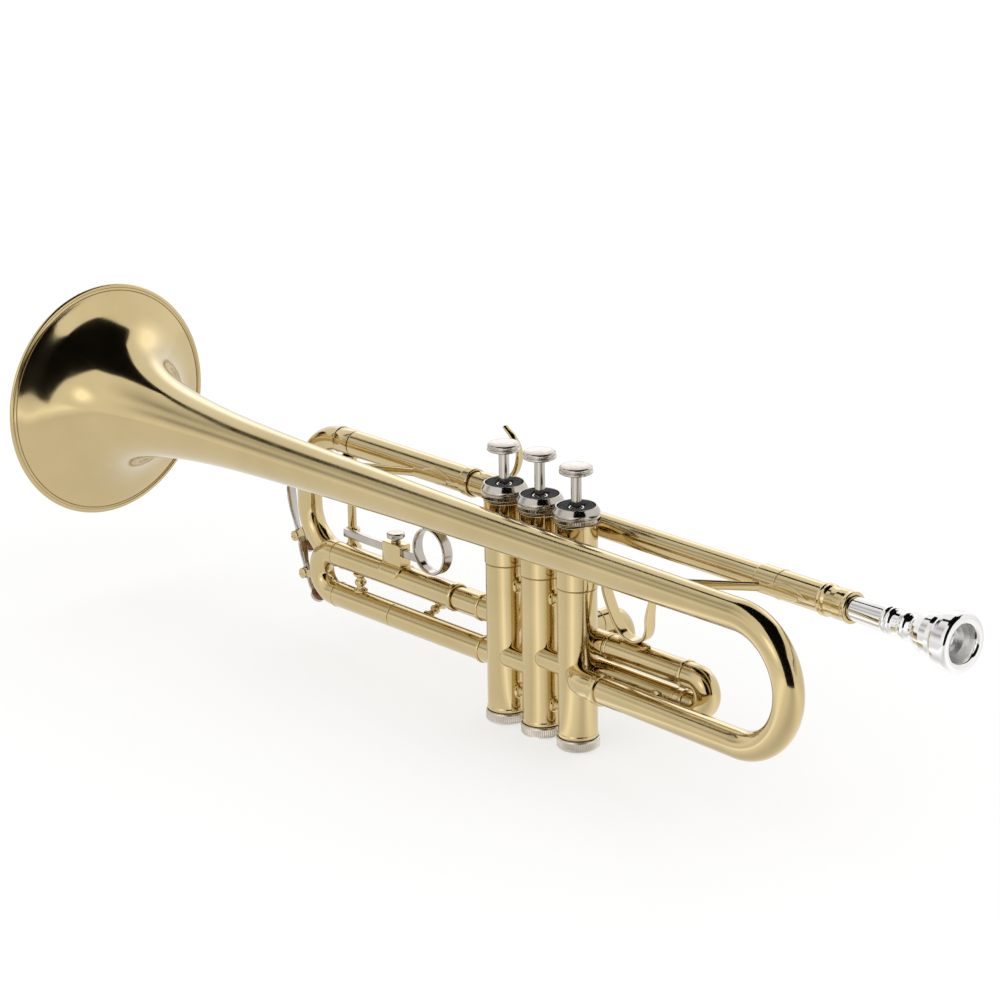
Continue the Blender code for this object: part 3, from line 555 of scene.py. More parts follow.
def plunger(valve, foot):
    """The stem, its button and the button's pearl, which ride on the piston."""
    press = valve + "_press"
    top = BUTTON_TOP[valve] - 5.5
    lathe(
        valve + "_stem_fine", foot, Z,
        [(112.5, 0), (112.5, 7.9), (114.3, 7.9), (114.3, 2.5), (top, 2.5), (top, 0)],
        "nickel", press, valve + "_stem", closed=False, sides=48,
    )
    lathe(
        valve + "_button_fine", foot, Z,
        [
            (top - 0.1, 0), (top - 0.1, 3.0), (top + 0.4, 4.6), (top + 1.0, 7.3), (top + 1.4, 7.9),
            (top + 2.3, 8.0), (top + 2.6, 7.4), (top + 3.0, 7.35), (top + 3.2, 7.75), (top + 4.1, 7.7),
            (top + 4.6, 7.05), (top + 4.3, 6.9), (top + 4.3, 0),
        ],
        "nickel", press, valve + "_button", closed=False, soft=0.2,
    )
    lathe(
        valve + "_pearl", foot, Z,
        [
            (top + 4.25, 0), (top + 4.25, 7.0), (top + 4.75, 6.95), (top + 5.2, 5.4), (top + 5.45, 2.8),
            (top + 5.5, 0),
        ],
        "pearl", press, closed=False, soft=0.3,
    )


for valve, x in VALVES.items():
    foot = at(x, 0, 0)
    casing(valve, foot)
    caps(valve, foot)
    felt(valve, foot)
    plunger(valve, foot)

# each spring stands on its guide's tabs; of its 29.5 mm, 15 are left when the piston is down
COIL_FOOT, COIL_TOP, COIL_R = 83.1, 111.7, 5.3
for valve, x in VALVES.items():
    turns, per_turn = 6, 20
    coil = []
    for k in range(turns * per_turn + 1):
        a = 2 * math.pi * k / per_turn
        rise = COIL_FOOT + (COIL_TOP - COIL_FOOT) * k / (turns * per_turn)
        coil.append((x + COIL_R * math.cos(a), COIL_R * math.sin(a), rise))
    spring = strip(
        valve + "_spring_fine", coil, Z, (0.9, 0.9), "steel", "horn", valve + "_spring",
        power=2.0, sides=10, steps=1,
    )
    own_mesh(spring)

# the tubes between neighbouring casings each start as a ball that shows beside the casing
BALL_R = 5.35
CROSS_Y = -3.9
for name, start, into, height in (
    ("crossover_tube_2_3", "valve_3", "valve_2", 34.3), ("crossover_tube_1_2", "valve_2", "valve_1", 40.4),
):
    ball = VALVES[start] + 7.2
    path, radii = [], []
    for k in range(1, 11):
        a = math.radians(90 - 9 * k)
        path.append((ball - BALL_R * math.sin(a), CROSS_Y, height))
        radii.append(BALL_R * math.cos(a))
    path.append((VALVES[into] - 8.0, CROSS_Y, height))
    tube(name + "_fine", path, radii + [BALL_R], 0.1, "lacquer", "horn", name, into=into)

for height in (70.0, 16.7):
    for way, other in ((1, "valve_1"), (-1, "valve_3")):
        post(
            "post_%d_%s" % (height, other), at(0, 0, height), X * way,
            [
                (9.0, 0), (9.0, 4.0), (9.9, 4.1), (10.5, 3.3), (11.0, 2.3), (14.0, 2.3), (14.5, 3.3),
                (15.1, 4.1), (16.0, 4.0), (16.0, 0),
            ],
            "horn", soft=0.35,
        )

# ---------------------------------------------------------------- bell

# the flare: how far from the rim, and the tube's radius there
FLARE = (
    (0.0, 60.8), (2.0, 55.7), (6.0, 47.5), (12.0, 39.4), (20.0, 32.2), (31.0, 26.2), (45.0, 21.7),
    (62.0, 18.4), (84.0, 15.8), (110.0, 13.8), (150.0, 12.1), (210.0, 10.6), (316.4, 8.6), (440.0, 7.5),
    (467.2, 7.4),
)
BOW_X = 150.8
TAIL_Z = 42.6
BELL_WALL = 0.6
bow_r = (BELL.z - TAIL_Z) / 2
flared = spline([(math.sqrt(d), math.log(r)) for d, r in FLARE], 10)
path = [(RIM_X + s * s, BELL.y, BELL.z) for s, _ in flared]
radii = [math.exp(q) for _, q in flared]
turn = arc(BOW_X, TAIL_Z + bow_r, bow_r, 90, -90, BELL.y, 4)[1:]
radii += [7.4 - 0.5 * (k + 1) / len(turn) for k in range(len(turn))]
path += turn
tail = Vector((53.0, -11.0, 38.7))
bow_end = Vector((BOW_X, BELL.y, TAIL_Z))
for share in (0.03, 0.08, 0.16, 0.4, 0.7, 1.0):
    path.append(tuple(bow_end.lerp(tail, share)))
    radii.append(6.9 - 0.3 * share)
tube("bell_fine", path, radii, [r - BELL_WALL for r in radii], "lacquer", "horn", "bell", sides=128)
bead = []
for k in range(20):
    a = 2 * math.pi * k / 20
    bead.append((-0.5 + 1.15 * math.cos(a), 60.1 + 1.2 * math.sin(a)))
lathe(
    "bell_bead", at(RIM_X, BELL.y, BELL.z), X, bead, "lacquer", "horn", "bell_rim_wire", sides=160, soft=0,
)
groove = min(flared, key=lambda q: abs(q[0] - 0.85))
groove_r = math.exp(groove[1]) + 0.05
wire = []
for k in range(8):
    a = k * math.pi / 4
    wire.append((0.28 * math.cos(a), groove_r + 0.28 * math.sin(a)))
lathe(
    "bell_rim_groove", at(RIM_X + groove[0] ** 2, BELL.y, BELL.z), X, wire, "seam", "horn", sides=160, soft=0,
)
knuckle = [
    (55.5, -11.2, 38.8), (48.0, -10.7, 38.5), (41.7, -10.2, 38.3), (37.3, -9.0, 38.1), (33.0, -6.2, 38.0),
]
tube(
    "bell_knuckle_fine", spline(knuckle, 6),
    6.45, 5.6, "lacquer", "horn", "bell_tail_knuckle", into="valve_1",
)
tail_way = (Vector((BOW_X, BELL.y, TAIL_Z)) - tail).normalized()
ferrule("bell_tail_ferrule", at(*(tail + tail_way * -1.2)), tail_way, 6.6, 4.4, 0.75, "horn")
ferrule("bell_tail_bead", at(*(tail + tail_way * 1.6)), tail_way, 6.6, 0.9, 0.95, "horn")

# ---------------------------------------------------------------- leadpipe, receiver, mouthpiece

pipe_at = at(0, PIPE.y, PIPE.z)
lathe(
    "leadpipe_fine", pipe_at, X, [(-69.5, 5.3), (-69.5, 5.9), (133.0, 5.9), (133.0, 5.3)],
    "lacquer", "horn", "leadpipe", sides=56,
)
lathe(
    "receiver_fine", pipe_at, X,
    [
        (127.0, 5.95), (127.0, 6.5), (127.6, 6.75), (165.8, 6.8), (166.2, 7.3), (166.9, 7.55),
        (167.6, 7.3), (168.2, 7.3), (168.8, 7.55), (169.2, 7.5), (169.7, 7.3), (170.4, 6.9), (172.4, 6.9),
        (175.5, 7.15), (178.5, 7.1), (180.2, 6.9), (180.9, 7.2), (182.3, 7.4), (182.9, 7.2), (182.9, 5.75),
        (156.0, 5.15), (134.0, 5.15), (134.0, 5.95),
    ],
    "lacquer", "horn", "mouthpiece_receiver", sides=72,
)
ferrule("receiver_sleeve_bead", at(140.0, PIPE.y, PIPE.z), X, 6.78, 0.7, 0.25, "horn")
lathe(
    "mouthpiece_fine", pipe_at, X,
    [
        (159.0, 1.9), (159.0, 4.85), (183.5, 5.45), (203.2, 6.0), (203.8, 6.6), (204.6, 6.75), (205.4, 6.6),
        (205.9, 6.1), (206.4, 6.6), (207.2, 6.75), (208.0, 6.5), (208.8, 5.55), (212.3, 5.35), (213.4, 6.2),
        (214.2, 6.6), (215.4, 6.7), (216.4, 6.4), (217.0, 5.7), (218.6, 5.0), (220.0, 5.2), (221.0, 6.2),
        (222.6, 7.8), (225.2, 9.1), (228.4, 9.8), (232.0, 10.0), (234.4, 9.6), (234.9, 10.3),
        (236.0, 10.5), (236.4, 11.6), (236.9, 12.6), (238.0, 13.1), (240.0, 13.3), (244.2, 13.55),
        (245.6, 13.3), (246.4, 12.5), (246.8, 11.2), (246.7, 10.0), (246.0, 9.0), (244.6, 8.5),
        (242.5, 8.1), (240.0, 7.0), (238.2, 5.4), (237.2, 4.0), (236.2, 3.4), (232.0, 2.3), (226.0, 1.9),
    ],
    "silver", "mouthpiece_body", "mouthpiece", sides=96, soft=0.9, sharp=60,
)
lathe(
    "mouthpiece_cup_lining", pipe_at, X,
    [
        (245.6, 8.85), (244.4, 8.45), (242.4, 8.05), (240.0, 6.95), (238.2, 5.35), (237.3, 4.1),
        (236.6, 3.7), (236.4, 4.2), (238.0, 5.7), (239.8, 7.3), (242.2, 8.3), (244.4, 8.7),
    ],
    "brushed", "mouthpiece_body", sides=96, soft=0.5, sharp=60,
)

# ---------------------------------------------------------------- main tuning slide

lathe(
    "tuning_upper_fine", pipe_at, X,
    [
        (-66.5, 6.2), (-66.5, 6.9), (-67.0, 7.25), (-71.4, 7.3), (-72.0, 7.0), (-72.4, TUNING_R),
        (-156.9, TUNING_R), (-157.0, 6.2),
    ],
    "lacquer", "horn", "tuning_upper_outer_tube", sides=56,
)
turn_x, turn_r = -34.5, 9.5  # the quarter bend into the third valve
path = [(-157.0, PIPE.y, TUNING_LOW), (turn_x, PIPE.y, TUNING_LOW)]
for k in range(1, 13):
    a = math.radians(90 - 7.5 * k)
    path.append((turn_x + turn_r * math.cos(a), PIPE.y - turn_r + turn_r * math.sin(a), TUNING_LOW))
path.append((VALVES["valve_3"], 7.0, TUNING_LOW))
tube("tuning_lower_fine", path, TUNING_R, 6.2, "lacquer", "horn", "tuning_lower_outer_tube", into="valve_3")
ferrule("tuning_lower_ferrule", at(-40.0, PIPE.y, TUNING_LOW), X, TUNING_R, 4.0, 0.55, "horn")

FRONT_X = -195.7
FERRULE_X = -168.0
top_r, low_r = 28.0, 22.0
bend = arc(FRONT_X + top_r, PIPE.z - top_r, top_r, 90, 180, PIPE.y)
bend += arc(FRONT_X + low_r, TUNING_LOW + low_r, low_r, 180, 270, PIPE.y)
leg = (-100.0, -157.5, -157.6, -158.0, FERRULE_X + 0.4, FERRULE_X)
leg_radii = [6.0, 6.0, 6.55, TUNING_R, TUNING_R, 6.3]
upper = [(x, PIPE.y, PIPE.z) for x in leg]
lower = [(x, PIPE.y, TUNING_LOW) for x in reversed(leg)]
lower[0] = (FRONT_X + low_r + 0.5, PIPE.y, TUNING_LOW)
path = upper + bend[1:-1] + lower
radii = leg_radii + [6.3] * (len(bend) - 2) + leg_radii[::-1]
tube("tuning_slide_fine", path, radii, 5.5, "lacquer", "tuning_slide_body", "tuning_slide", sides=56)
for name, height in (("upper", PIPE.z), ("lower", TUNING_LOW)):
    ferrule(
        "tuning_bow_bead_" + name, at(FERRULE_X, PIPE.y, height), X, 6.45, 0.8, 0.35, "tuning_slide_body",
    )
post(
    "tuning_brace_fine", at(-162.0, PIPE.y, TUNING_LOW), Z,
    [
        (6.4, 0), (6.4, 4.4), (7.0, 4.5), (7.8, 3.9), (9.4, 2.8), (10.8, 2.5), (13.4, 2.5), (14.0, 3.2),
        (14.7, 3.9), (16.4, 3.9), (17.1, 3.2), (17.5, 2.2), (50.5, 2.2), (52.2, 2.7), (54.0, 4.0),
        (55.0, 4.5), (55.6, 4.4), (55.6, 0),
    ],
    "tuning_slide_body", "tuning_slide_brace", soft=0.5,
)

# ---------------------------------------------------------------- third, first and second slides


def rail(name, y, z, low, high, step_x, stands_for, valve, way):
    """The fixed inner tube of a slide: a sleeve by the casing, stepping down at step_x."""
    points = [(low, y, z), (step_x - 0.3 * way, y, z), (step_x, y, z), (high, y, z)]
    radii = [SLEEVE_R, SLEEVE_R, 5.6, 5.6]
    tube(name, points, radii, 5.0, "lacquer", "horn", stands_for, out_of=valve)


def fixed_sleeve(name, y, z, joint, stands_for, valve, way):
    """The fixed outer tube of a slide, from the casing to the joint, its mouth eased."""
    points = [(33.0 * way, y, z), (joint - 0.2 * way, y, z), (joint, y, z)]
    radii = [SLEEVE_R, SLEEVE_R, 6.05]
    tube(name, points, radii, SLEEVE_BORE, "lacquer", "horn", stands_for, out_of=valve)


def moving_bow(name, y, up, low, mouth, straight, bow, joint, leg_end, way, body):
    """A slide's moving tube: a sleeve above, the bow, and below it a leg that narrows at the joint."""
    bow_radius = (up - low) / 2
    path = [(mouth, y, up), (straight, y, up)]
    path += arc(bow, low + bow_radius, bow_radius, 90 - 2 * way, 90 - 178 * way, y, 6)
    steps = (joint + 0.6 * way, joint + 0.3 * way, joint + 0.2 * way)
    path += [(x, y, low) for x in (straight, *steps, leg_end)]
    outer = [SLEEVE_R] * (len(path) - 3) + [6.1, LEG_R, LEG_R]
    inner = [5.85, 5.85] + [5.5] * (len(path) - 2)
    tube(name + "_fine", path, outer, inner, "lacquer", body, name, sides=56)


def low_rings(body, *rows):
    """Low rings round the sleeves: (name, place, width, how proud)."""
    for name, place, width, proud in rows:
        ferrule(name, at(*place), X, SLEEVE_R, width, proud, body)


THIRD_BOW = -154.0
moving_bow(
    "third_slide", 0, THIRD_UP, THIRD_LOW, -59.5, -153.4, THIRD_BOW, THIRD_JOINT, -62.0, -1,
    "third_slide_body",
)
rail("third_rail", 0, THIRD_UP, -33.0, -106.0, -41.8, "third_slide_inner_tube", "valve_3", -1)
fixed_sleeve("third_outer_fine", 0, THIRD_LOW, THIRD_JOINT, "third_slide_outer_tube", "valve_3", -1)
low_rings(
    "third_slide_body",
    ("third_mouth_ring", (-61.0, 0, THIRD_UP), 3.2, 0.85),
    ("third_bow_bead_up", (-151.0, 0, THIRD_UP), 0.7, 0.3),
    ("third_bow_bead_low", (-151.0, 0, THIRD_LOW), 0.7, 0.3),
)
low_rings(
    "horn",
    ("third_rail_ring", (-40.6, 0, THIRD_UP), 2.2, 0.6),
    ("third_outer_ring", (-40.6, 0, THIRD_LOW), 2.2, 0.6),
)
post(
    "third_leg_brace", at(-134.0, 0, THIRD_LOW), Z,
    [
        (5.8, 0), (5.8, 3.6), (6.8, 3.5), (8.0, 2.0), (9.2, 1.9), (9.6, 2.7), (10.7, 3.0), (11.8, 2.7),
        (12.2, 1.9), (13.4, 2.0), (14.6, 3.5), (15.6, 3.6), (15.6, 0),
    ],
    "third_slide_body",
)
stay = Vector((0, PIPE.y, TUNING_LOW - THIRD_LOW))
reach = stay.length
post(
    "third_stay", at(-88.0, 0, THIRD_LOW), stay.normalized(),
    [
        (5.9, 0), (5.9, 3.6), (6.8, 3.4), (8.2, 1.8), (reach / 2 - 1.4, 1.7), (reach / 2 - 0.8, 2.5),
        (reach / 2 + 0.8, 2.5), (reach / 2 + 1.4, 1.7), (reach - 8.6, 1.8), (reach - 7.2, 3.4),
        (reach - 6.3, 3.6), (reach - 6.3, 0),
    ],
    "horn",
)

moving_bow(
    "first_slide", FIRST.y, FIRST.z, FIRST_LOW, 40.5, 96.6, 97.0, FIRST_JOINT, 46.0, 1, "first_slide_body",
)
rail("first_rail", FIRST.y, FIRST.z, 33.0, 74.0, 40.0, "first_slide_inner_tube", "valve_1", 1)
fixed_sleeve("first_outer_fine", FIRST.y, FIRST_LOW, FIRST_JOINT, "first_slide_outer_tube", "valve_1", 1)
low_rings(
    "first_slide_body",
    ("first_bow_ring", (91.0, FIRST.y, FIRST.z), 2.2, 0.6),
    ("first_bow_ring_low", (91.0, FIRST.y, FIRST_LOW), 2.2, 0.6),
    ("first_sleeve_bead", (42.0, FIRST.y, FIRST.z), 1.4, 0.35),
)
post(
    "first_stay", at(77.0, FIRST.y, FIRST_LOW + 0.8), -Y,
    [
        (5.8, 0), (5.8, 3.7), (6.7, 3.5), (7.8, 2.4), (9.6, 2.3), (10.6, 3.4), (11.7, 3.7), (12.6, 3.5),
        (12.6, 0),
    ],
    "horn",
)

second_mid, second_r = (SECOND_UP + SECOND_LOW) / 2, (SECOND_UP - SECOND_LOW) / 2
legs = (11.0, 27.25, 27.3, 27.6)
radii = [LEG_R, LEG_R, 6.1, SLEEVE_R]
bend = []
for k in range(25):
    a = math.radians(90 - 7.5 * k)
    bend.append((0, 42.5 + second_r * math.cos(a), second_mid + second_r * math.sin(a)))
path = [(0, y, SECOND_UP) for y in legs] + bend + [(0, y, SECOND_LOW) for y in reversed(legs)]
tube(
    "second_slide_fine", path, radii + [SLEEVE_R] * len(bend) + radii[::-1], 5.4, "lacquer",
    "second_slide_body", "second_slide",
)
for name, height in (("up", SECOND_UP), ("low", SECOND_LOW)):
    tube(
        "second_outer_" + name, [(0, 9.0, height), (0, 26.8, height), (0, 27.0, height)],
        [SLEEVE_R, SLEEVE_R, 6.05], SLEEVE_BORE, "lacquer", "horn", out_of="valve_2",
    )
    ferrule("second_outer_ring_" + name, at(0, 25.4, height), Y, SLEEVE_R, 2.0, 0.55, "horn")
    ferrule(
        "second_bow_ring_" + name, at(0, 36.0, height), Y, SLEEVE_R, 0.8, 0.35, "second_slide_body",
    )

# ---------------------------------------------------------------- finger ring, rod and clamp

ROD_Z = 65.4
BLOCK = -105.75
ring_mid = Vector((-78.3, 0, 71.8))
lathe(
    "finger_ring", at(*ring_mid), Y,
    [
        (-3.0, 10.75), (-3.0, 11.6), (-2.2, 11.9), (2.2, 11.9), (3.0, 11.6), (3.0, 10.75), (1.6, 10.5),
        (-1.6, 10.5),
    ],
    "nickel", "ring_rod_body", "ring_rod", sides=96, soft=0.3,
)


def rounded_bar(name, low, high, soft, look_name, body, hole=None):
    """A bar along X with rounded long edges and chamfered ends, with a square way through if asked."""
    outline = []
    half = ((high[1] - low[1]) / 2, (high[2] - low[2]) / 2)
    mid = ((high[1] + low[1]) / 2, (high[2] + low[2]) / 2)
    for start, sy, sz in ((0, 1, 1), (90, -1, 1), (180, -1, -1), (270, 1, -1)):
        for k in range(5):
            a = math.radians(start + 90 * k / 4)
            u = sy * (half[0] - soft) + soft * math.cos(a)
            v = sz * (half[1] - soft) + soft * math.sin(a)
            outline.append((u, v))
    chamfer = soft * 0.7
    outside = []
    for x, shrink in (
        (low[0], chamfer), (low[0] + chamfer, 0), (high[0] - chamfer, 0), (high[0], chamfer),
    ):
        ring = []
        for u, v in outline:
            k = 1 - shrink / max(half)
            ring.append(at(x, mid[0] + u * k, mid[1] + v * k))
        outside.append(ring)
    shape = bridge(outside, False)
    if hole:
        inner = []
        for x in (high[0], low[0]):
            ring = []
            for u, v in outline:
                ring.append(at(x, mid[0] + u * hole[0] / half[0], hole[2] + v * hole[1] / half[1]))
            inner.append(ring)
        shape = bridge(outside + inner, True)
    return make_piece(name, shape, look_name, body)


rounded_bar(
    "ring_rod_bar", (-145.0, -1.4, ROD_Z - 2.0), (-89.6, 1.4, ROD_Z + 2.0), 0.35, "nickel", "ring_rod_body",
)
block = rounded_bar(
    "ring_block_fine", (BLOCK - 6.75, -3.6, 58.6), (BLOCK + 6.75, 3.6, 69.6), 0.6, "lacquer",
    "third_slide_body", (1.65, 2.25, ROD_Z),
)
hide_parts("ring_block")
leaf(
    "ring_block_saddle", at(BLOCK, 0, THIRD_UP), X, SLEEVE_R, Z, 17.0, 18.0, "third_slide_body",
    0.9, 8.0,
)
knurled(
    "thumbscrew_fine", at(BLOCK, 0, 0),
    [
        (ROD_Z + 2.4, 0.05), (ROD_Z + 2.4, 1.3), (70.6, 1.3), (70.9, 2.4), (71.6, 2.5), (72.0, 4.2),
        (72.3, 4.45), (74.2, 4.5), (74.7, 3.9), (74.7, 0.05),
    ],
    (72.3, 74.2, 4.2), 40, 0.3, "nickel", "thumbscrew_body", "ring_thumbscrew",
)
ferrule("thumbscrew_collar", at(BLOCK, 0, 70.0), Z, 1.6, 0.8, 0.9, "third_slide_body")

# ---------------------------------------------------------------- thumb hook and little-finger hook

hook_y = FIRST.y
strip(
    "thumb_hook_fine",
    [
        (36.6, hook_y, 83.0), (38.6, hook_y, 78.0), (43.6, hook_y, 68.4), (49.0, hook_y, 61.9),
        (54.5, hook_y, 59.7), (59.5, hook_y, 59.9), (64.2, hook_y, 62.6), (66.4, hook_y, 67.0),
        (66.8, hook_y, 74.0), (68.6, hook_y, 83.0),
    ],
    Y, [(4.4, 1.0)] + [(6.2, 1.4)] * 8 + [(4.4, 1.0)], "lacquer", "first_slide_body", "first_slide_hook",
)
leaf(
    "thumb_hook_saddle", at(56.5, hook_y, FIRST.z), X, SLEEVE_R, Z, 21.0, 9.5, "first_slide_body", 0.9, 3.0,
)
strip(
    "little_finger_hook",
    [
        (-58.0, PIPE.y, 111.3), (-50.0, PIPE.y, 111.6), (-45.0, PIPE.y, 112.2), (-41.0, PIPE.y, 113.8),
        (-37.2, PIPE.y, 117.8), (-34.8, PIPE.y, 124.0), (-35.3, PIPE.y, 129.4), (-39.2, PIPE.y, 134.4),
        (-44.6, PIPE.y, 138.2),
    ],
    Y,
    [
        (3.0, 0.8), (4.6, 1.2), (5.0, 1.8), (4.8, 2.1), (4.4, 2.2), (4.2, 2.1), (4.0, 2.0), (3.8, 1.9),
        (3.2, 1.5),
    ],
    "lacquer", "horn", "pinky_hook", power=2.6,
)
leaf("little_finger_leaf", at(-53.0, PIPE.y, PIPE.z), X, 5.9, Z, 21.0, 7.0, "horn", 0.9, 2.0)

# ---------------------------------------------------------------- braces


def brace(name, pipe_x, bell_x, pipe_radius, bell_radius, node_name):
    """A flat stay from the leadpipe to the bell, a pointed leaf under each end."""
    near_pipe = PIPE.y - pipe_radius - 0.5
    near_bell = BELL.y + bell_radius + 0.5
    z = (PIPE.z + BELL.z) / 2
    way = 1 if pipe_x[1] > pipe_x[0] else -1
    path = [
        (pipe_x[0] + 6 * way, near_pipe, z), (pipe_x[0] + 16 * way, near_pipe, z),
        (pipe_x[1], near_pipe - 0.2, z), (pipe_x[1] + 3.5 * way, near_pipe - 1.8, z),
        (bell_x[0] - 3.5 * way, near_bell + 1.8, z), (bell_x[0], near_bell + 0.2, z),
        (bell_x[1] - 16 * way, near_bell, z), (bell_x[1] - 6 * way, near_bell, z),
    ]
    half = [(2.4, 0.9), (4.4, 1.2), (4.8, 1.8), (4.4, 2.2)]
    strip(name, path, Z, half + half[::-1], "lacquer", "horn", node_name, power=3.0, steps=5)
    for end, xs, pipe, radius, facing in (
        ("pipe", pipe_x, PIPE, pipe_radius, -Y), ("bell", bell_x, BELL, bell_radius, Y),
    ):
        place = at(sum(xs) / 2, pipe.y, pipe.z)
        leaf(name + "_leaf_" + end, place, X, radius, facing, 28.0, 8.5, "horn", 0.8, 1.2)


brace("front_brace_fine", (-74.0, -103.0), (-137.0, -166.0), TUNING_R, 12.1, "front_brace")
brace("rear_brace_fine", (162.0, 134.0), (103.0, 76.0), 6.75, 7.8, "rear_brace")

# ---------------------------------------------------------------- water keys


def water_key(name, y, pivot, lever, seat, way, to_bow, cork_r, bow_body, key_body, bow_mid):
    """A lever on a screw, its cork cup, the nipple that it seals, its saddle and its wire spring."""
    hinge, cup_at = at(pivot[0], y, pivot[1]), at(seat[0], y, seat[1])
    way = Vector((way[0], 0, way[1])).normalized()
    sizes = [(4.2, 0.9), (5.8, 1.3), (5.2, 1.3), (3.4, 1.6), (3.2, 2.2), (3.0, 1.5), (3.0, 1.2)]
    strip(
        name + "_lever", [(x, y, z) for x, z in lever], Y, sizes, "nickel", key_body, name, power=3.0,
    )
    lathe(
        name + "_barrel", hinge, Y, [(-1.75, 1.2), (-1.75, 2.4), (1.75, 2.4), (1.75, 1.2)],
        "nickel", key_body, sides=40,
    )
    lathe(
        name + "_cup", cup_at, way,
        [
            (-1.1, 0), (-1.1, cork_r * 0.5), (-0.7, cork_r + 0.2), (1.5, cork_r + 0.5),
            (1.5, cork_r + 0.05), (0.6, cork_r), (0.6, 0),
        ],
        "nickel", key_body, closed=False, sides=48,
    )
    cork_end = to_bow - 1.9
    lathe(
        name + "_cork_fine", cup_at, way,
        [(0.7, 0), (0.7, cork_r), (cork_end - 0.2, cork_r), (cork_end, cork_r - 0.5), (cork_end, 0)],
        "cork", key_body, name + "_cork", closed=False, sides=40,
    )
    lathe(
        name + "_nipple", cup_at, way,
        [
            (cork_end + 0.25, 1.2), (cork_end + 0.25, 2.0), (to_bow - 0.6, 2.2), (to_bow + 0.4, 3.0),
            (to_bow + 0.4, 1.2),
        ],
        "lacquer", bow_body, sides=40,
    )
    lathe(
        name + "_pin", hinge, Y, [(-3.7, 0), (-3.7, 0.95), (3.7, 0.95), (3.7, 0)], "nickel", bow_body,
        closed=False, sides=24,
    )
    toward = Vector((bow_mid[0] - pivot[0], 0, bow_mid[1] - pivot[1])).normalized()
    for side in (-2.95, 2.95):
        lathe(
            name + "_cheek_%d" % (side * 100), hinge + Y * side * MM, Y,
            [(-0.8, 0), (-0.8, 2.7), (0.8, 2.7), (0.8, 0)], "lacquer", bow_body,
            closed=False, sides=40, soft=0.3,
        )
        start = Vector((pivot[0], y + side, pivot[1]))
        strip(
            name + "_foot_%d" % (side * 100), [tuple(start + toward * d) for d in (0, 4, 8.4)],
            Y, [(1.5, 3.4), (1.6, 3.8), (1.8, 5.4)], "lacquer", bow_body, power=4.0,
        )
    screw_head(name + "_screw", hinge - Y * 3.6 * MM, -Y, 2.7, 0.9, "lacquer", bow_body)
    coil = []
    for k in range(41):
        a = 2 * math.pi * 2.5 * k / 40 + math.pi / 2
        coil.append((pivot[0] + 3.0 * math.cos(a), y - 1.6 + 1.2 * k / 40, pivot[1] + 3.0 * math.sin(a)))
    lead = Vector((lever[2][0], y - 1.6, lever[2][1])) + Vector((1.4, 0, 0))
    wire = [tuple(lead), tuple(lead.lerp(Vector(coil[0]), 0.5))] + coil
    strip(name + "_spring_wire", wire, Y, (0.7, 0.7), "steel", key_body, power=2.0, sides=10, steps=2)


bow_c = (FRONT_X + low_r, TUNING_LOW + low_r)
water_key(
    "tuning_water_key", PIPE.y, (-204.6, 45.6),
    [
        (-211.4, 71.5), (-211.0, 68.0), (-209.8, 60.0), (-207.2, 51.0), (-204.6, 45.6), (-202.3, 42.8),
        (-198.5, 40.1),
    ],
    (-198.3, 41.6), (0.731, 0.682), 5.3, 3.8, "tuning_slide_body", "tuning_key_body", bow_c,
)
water_key(
    "third_water_key", 0.0, (-175.6, 37.0),
    [
        (-179.4, 55.0), (-179.4, 52.5), (-178.9, 47.5), (-177.4, 41.0), (-175.6, 37.0), (-173.4, 30.4),
        (-169.2, 25.3),
    ],
    (-168.6, 26.2), (0.686, 0.728), 4.4, 3.6, "third_slide_body", "third_key_body",
    (THIRD_BOW, (THIRD_UP + THIRD_LOW) / 2),
)
for key, body in (("tuning_water_key", "tuning_slide_body"), ("third_water_key", "third_slide_body")):
    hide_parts(key + "_saddle")

# ---------------------------------------------------------------- kept CAD nodes

KEPT = {"piston": "steel", "spring": "steel", "guide": "nylon"}
for name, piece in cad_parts.items():
    if piece.hide_render:
        continue
    look_name = KEPT.get(name.split("_")[-1], "lacquer")
    piece.data.materials.clear()
    piece.data.materials.append(LOOKS[look_name])

# ---------------------------------------------------------------- floor, light and camera


def plain(name, grey, glow=0.0):
    """A matt grey, with a little light of its own if asked."""
    made, tree = new_material(name)
    for socket, value in (
        ("Base Color", (grey, grey, grey, 1)), ("Roughness", 1.0), ("Specular IOR Level", 0.0),
        ("Emission Color", (1, 1, 1, 1)), ("Emission Strength", glow),
    ):
        tree.nodes["Principled BSDF"].inputs[socket].default_value = value
    return made


def square(half, z):
    """The corners of a level square about the valves."""
    return [(-half, -half, z), (half, -half, z), (half, half, z), (-half, half, z)]


def card(name, corners, material, only_mirrored=True):
    """A flat card; all but the floor are seen only in the metal."""
    mesh = bpy.data.meshes.new(name)
    mesh.from_pydata(corners, [], [tuple(range(len(corners)))])
    mesh.materials.append(material)
    made = bpy.data.objects.new(name, mesh)
    bpy.context.scene.collection.objects.link(made)
    made.visible_camera = made.visible_diffuse = made.visible_shadow = not only_mirrored
    return made


base = FLOOR * MM
card("floor", square(15, base - 0.0004), plain("pale_floor", 0.45, 0.55), False)
black = plain("black_card", 0.004)


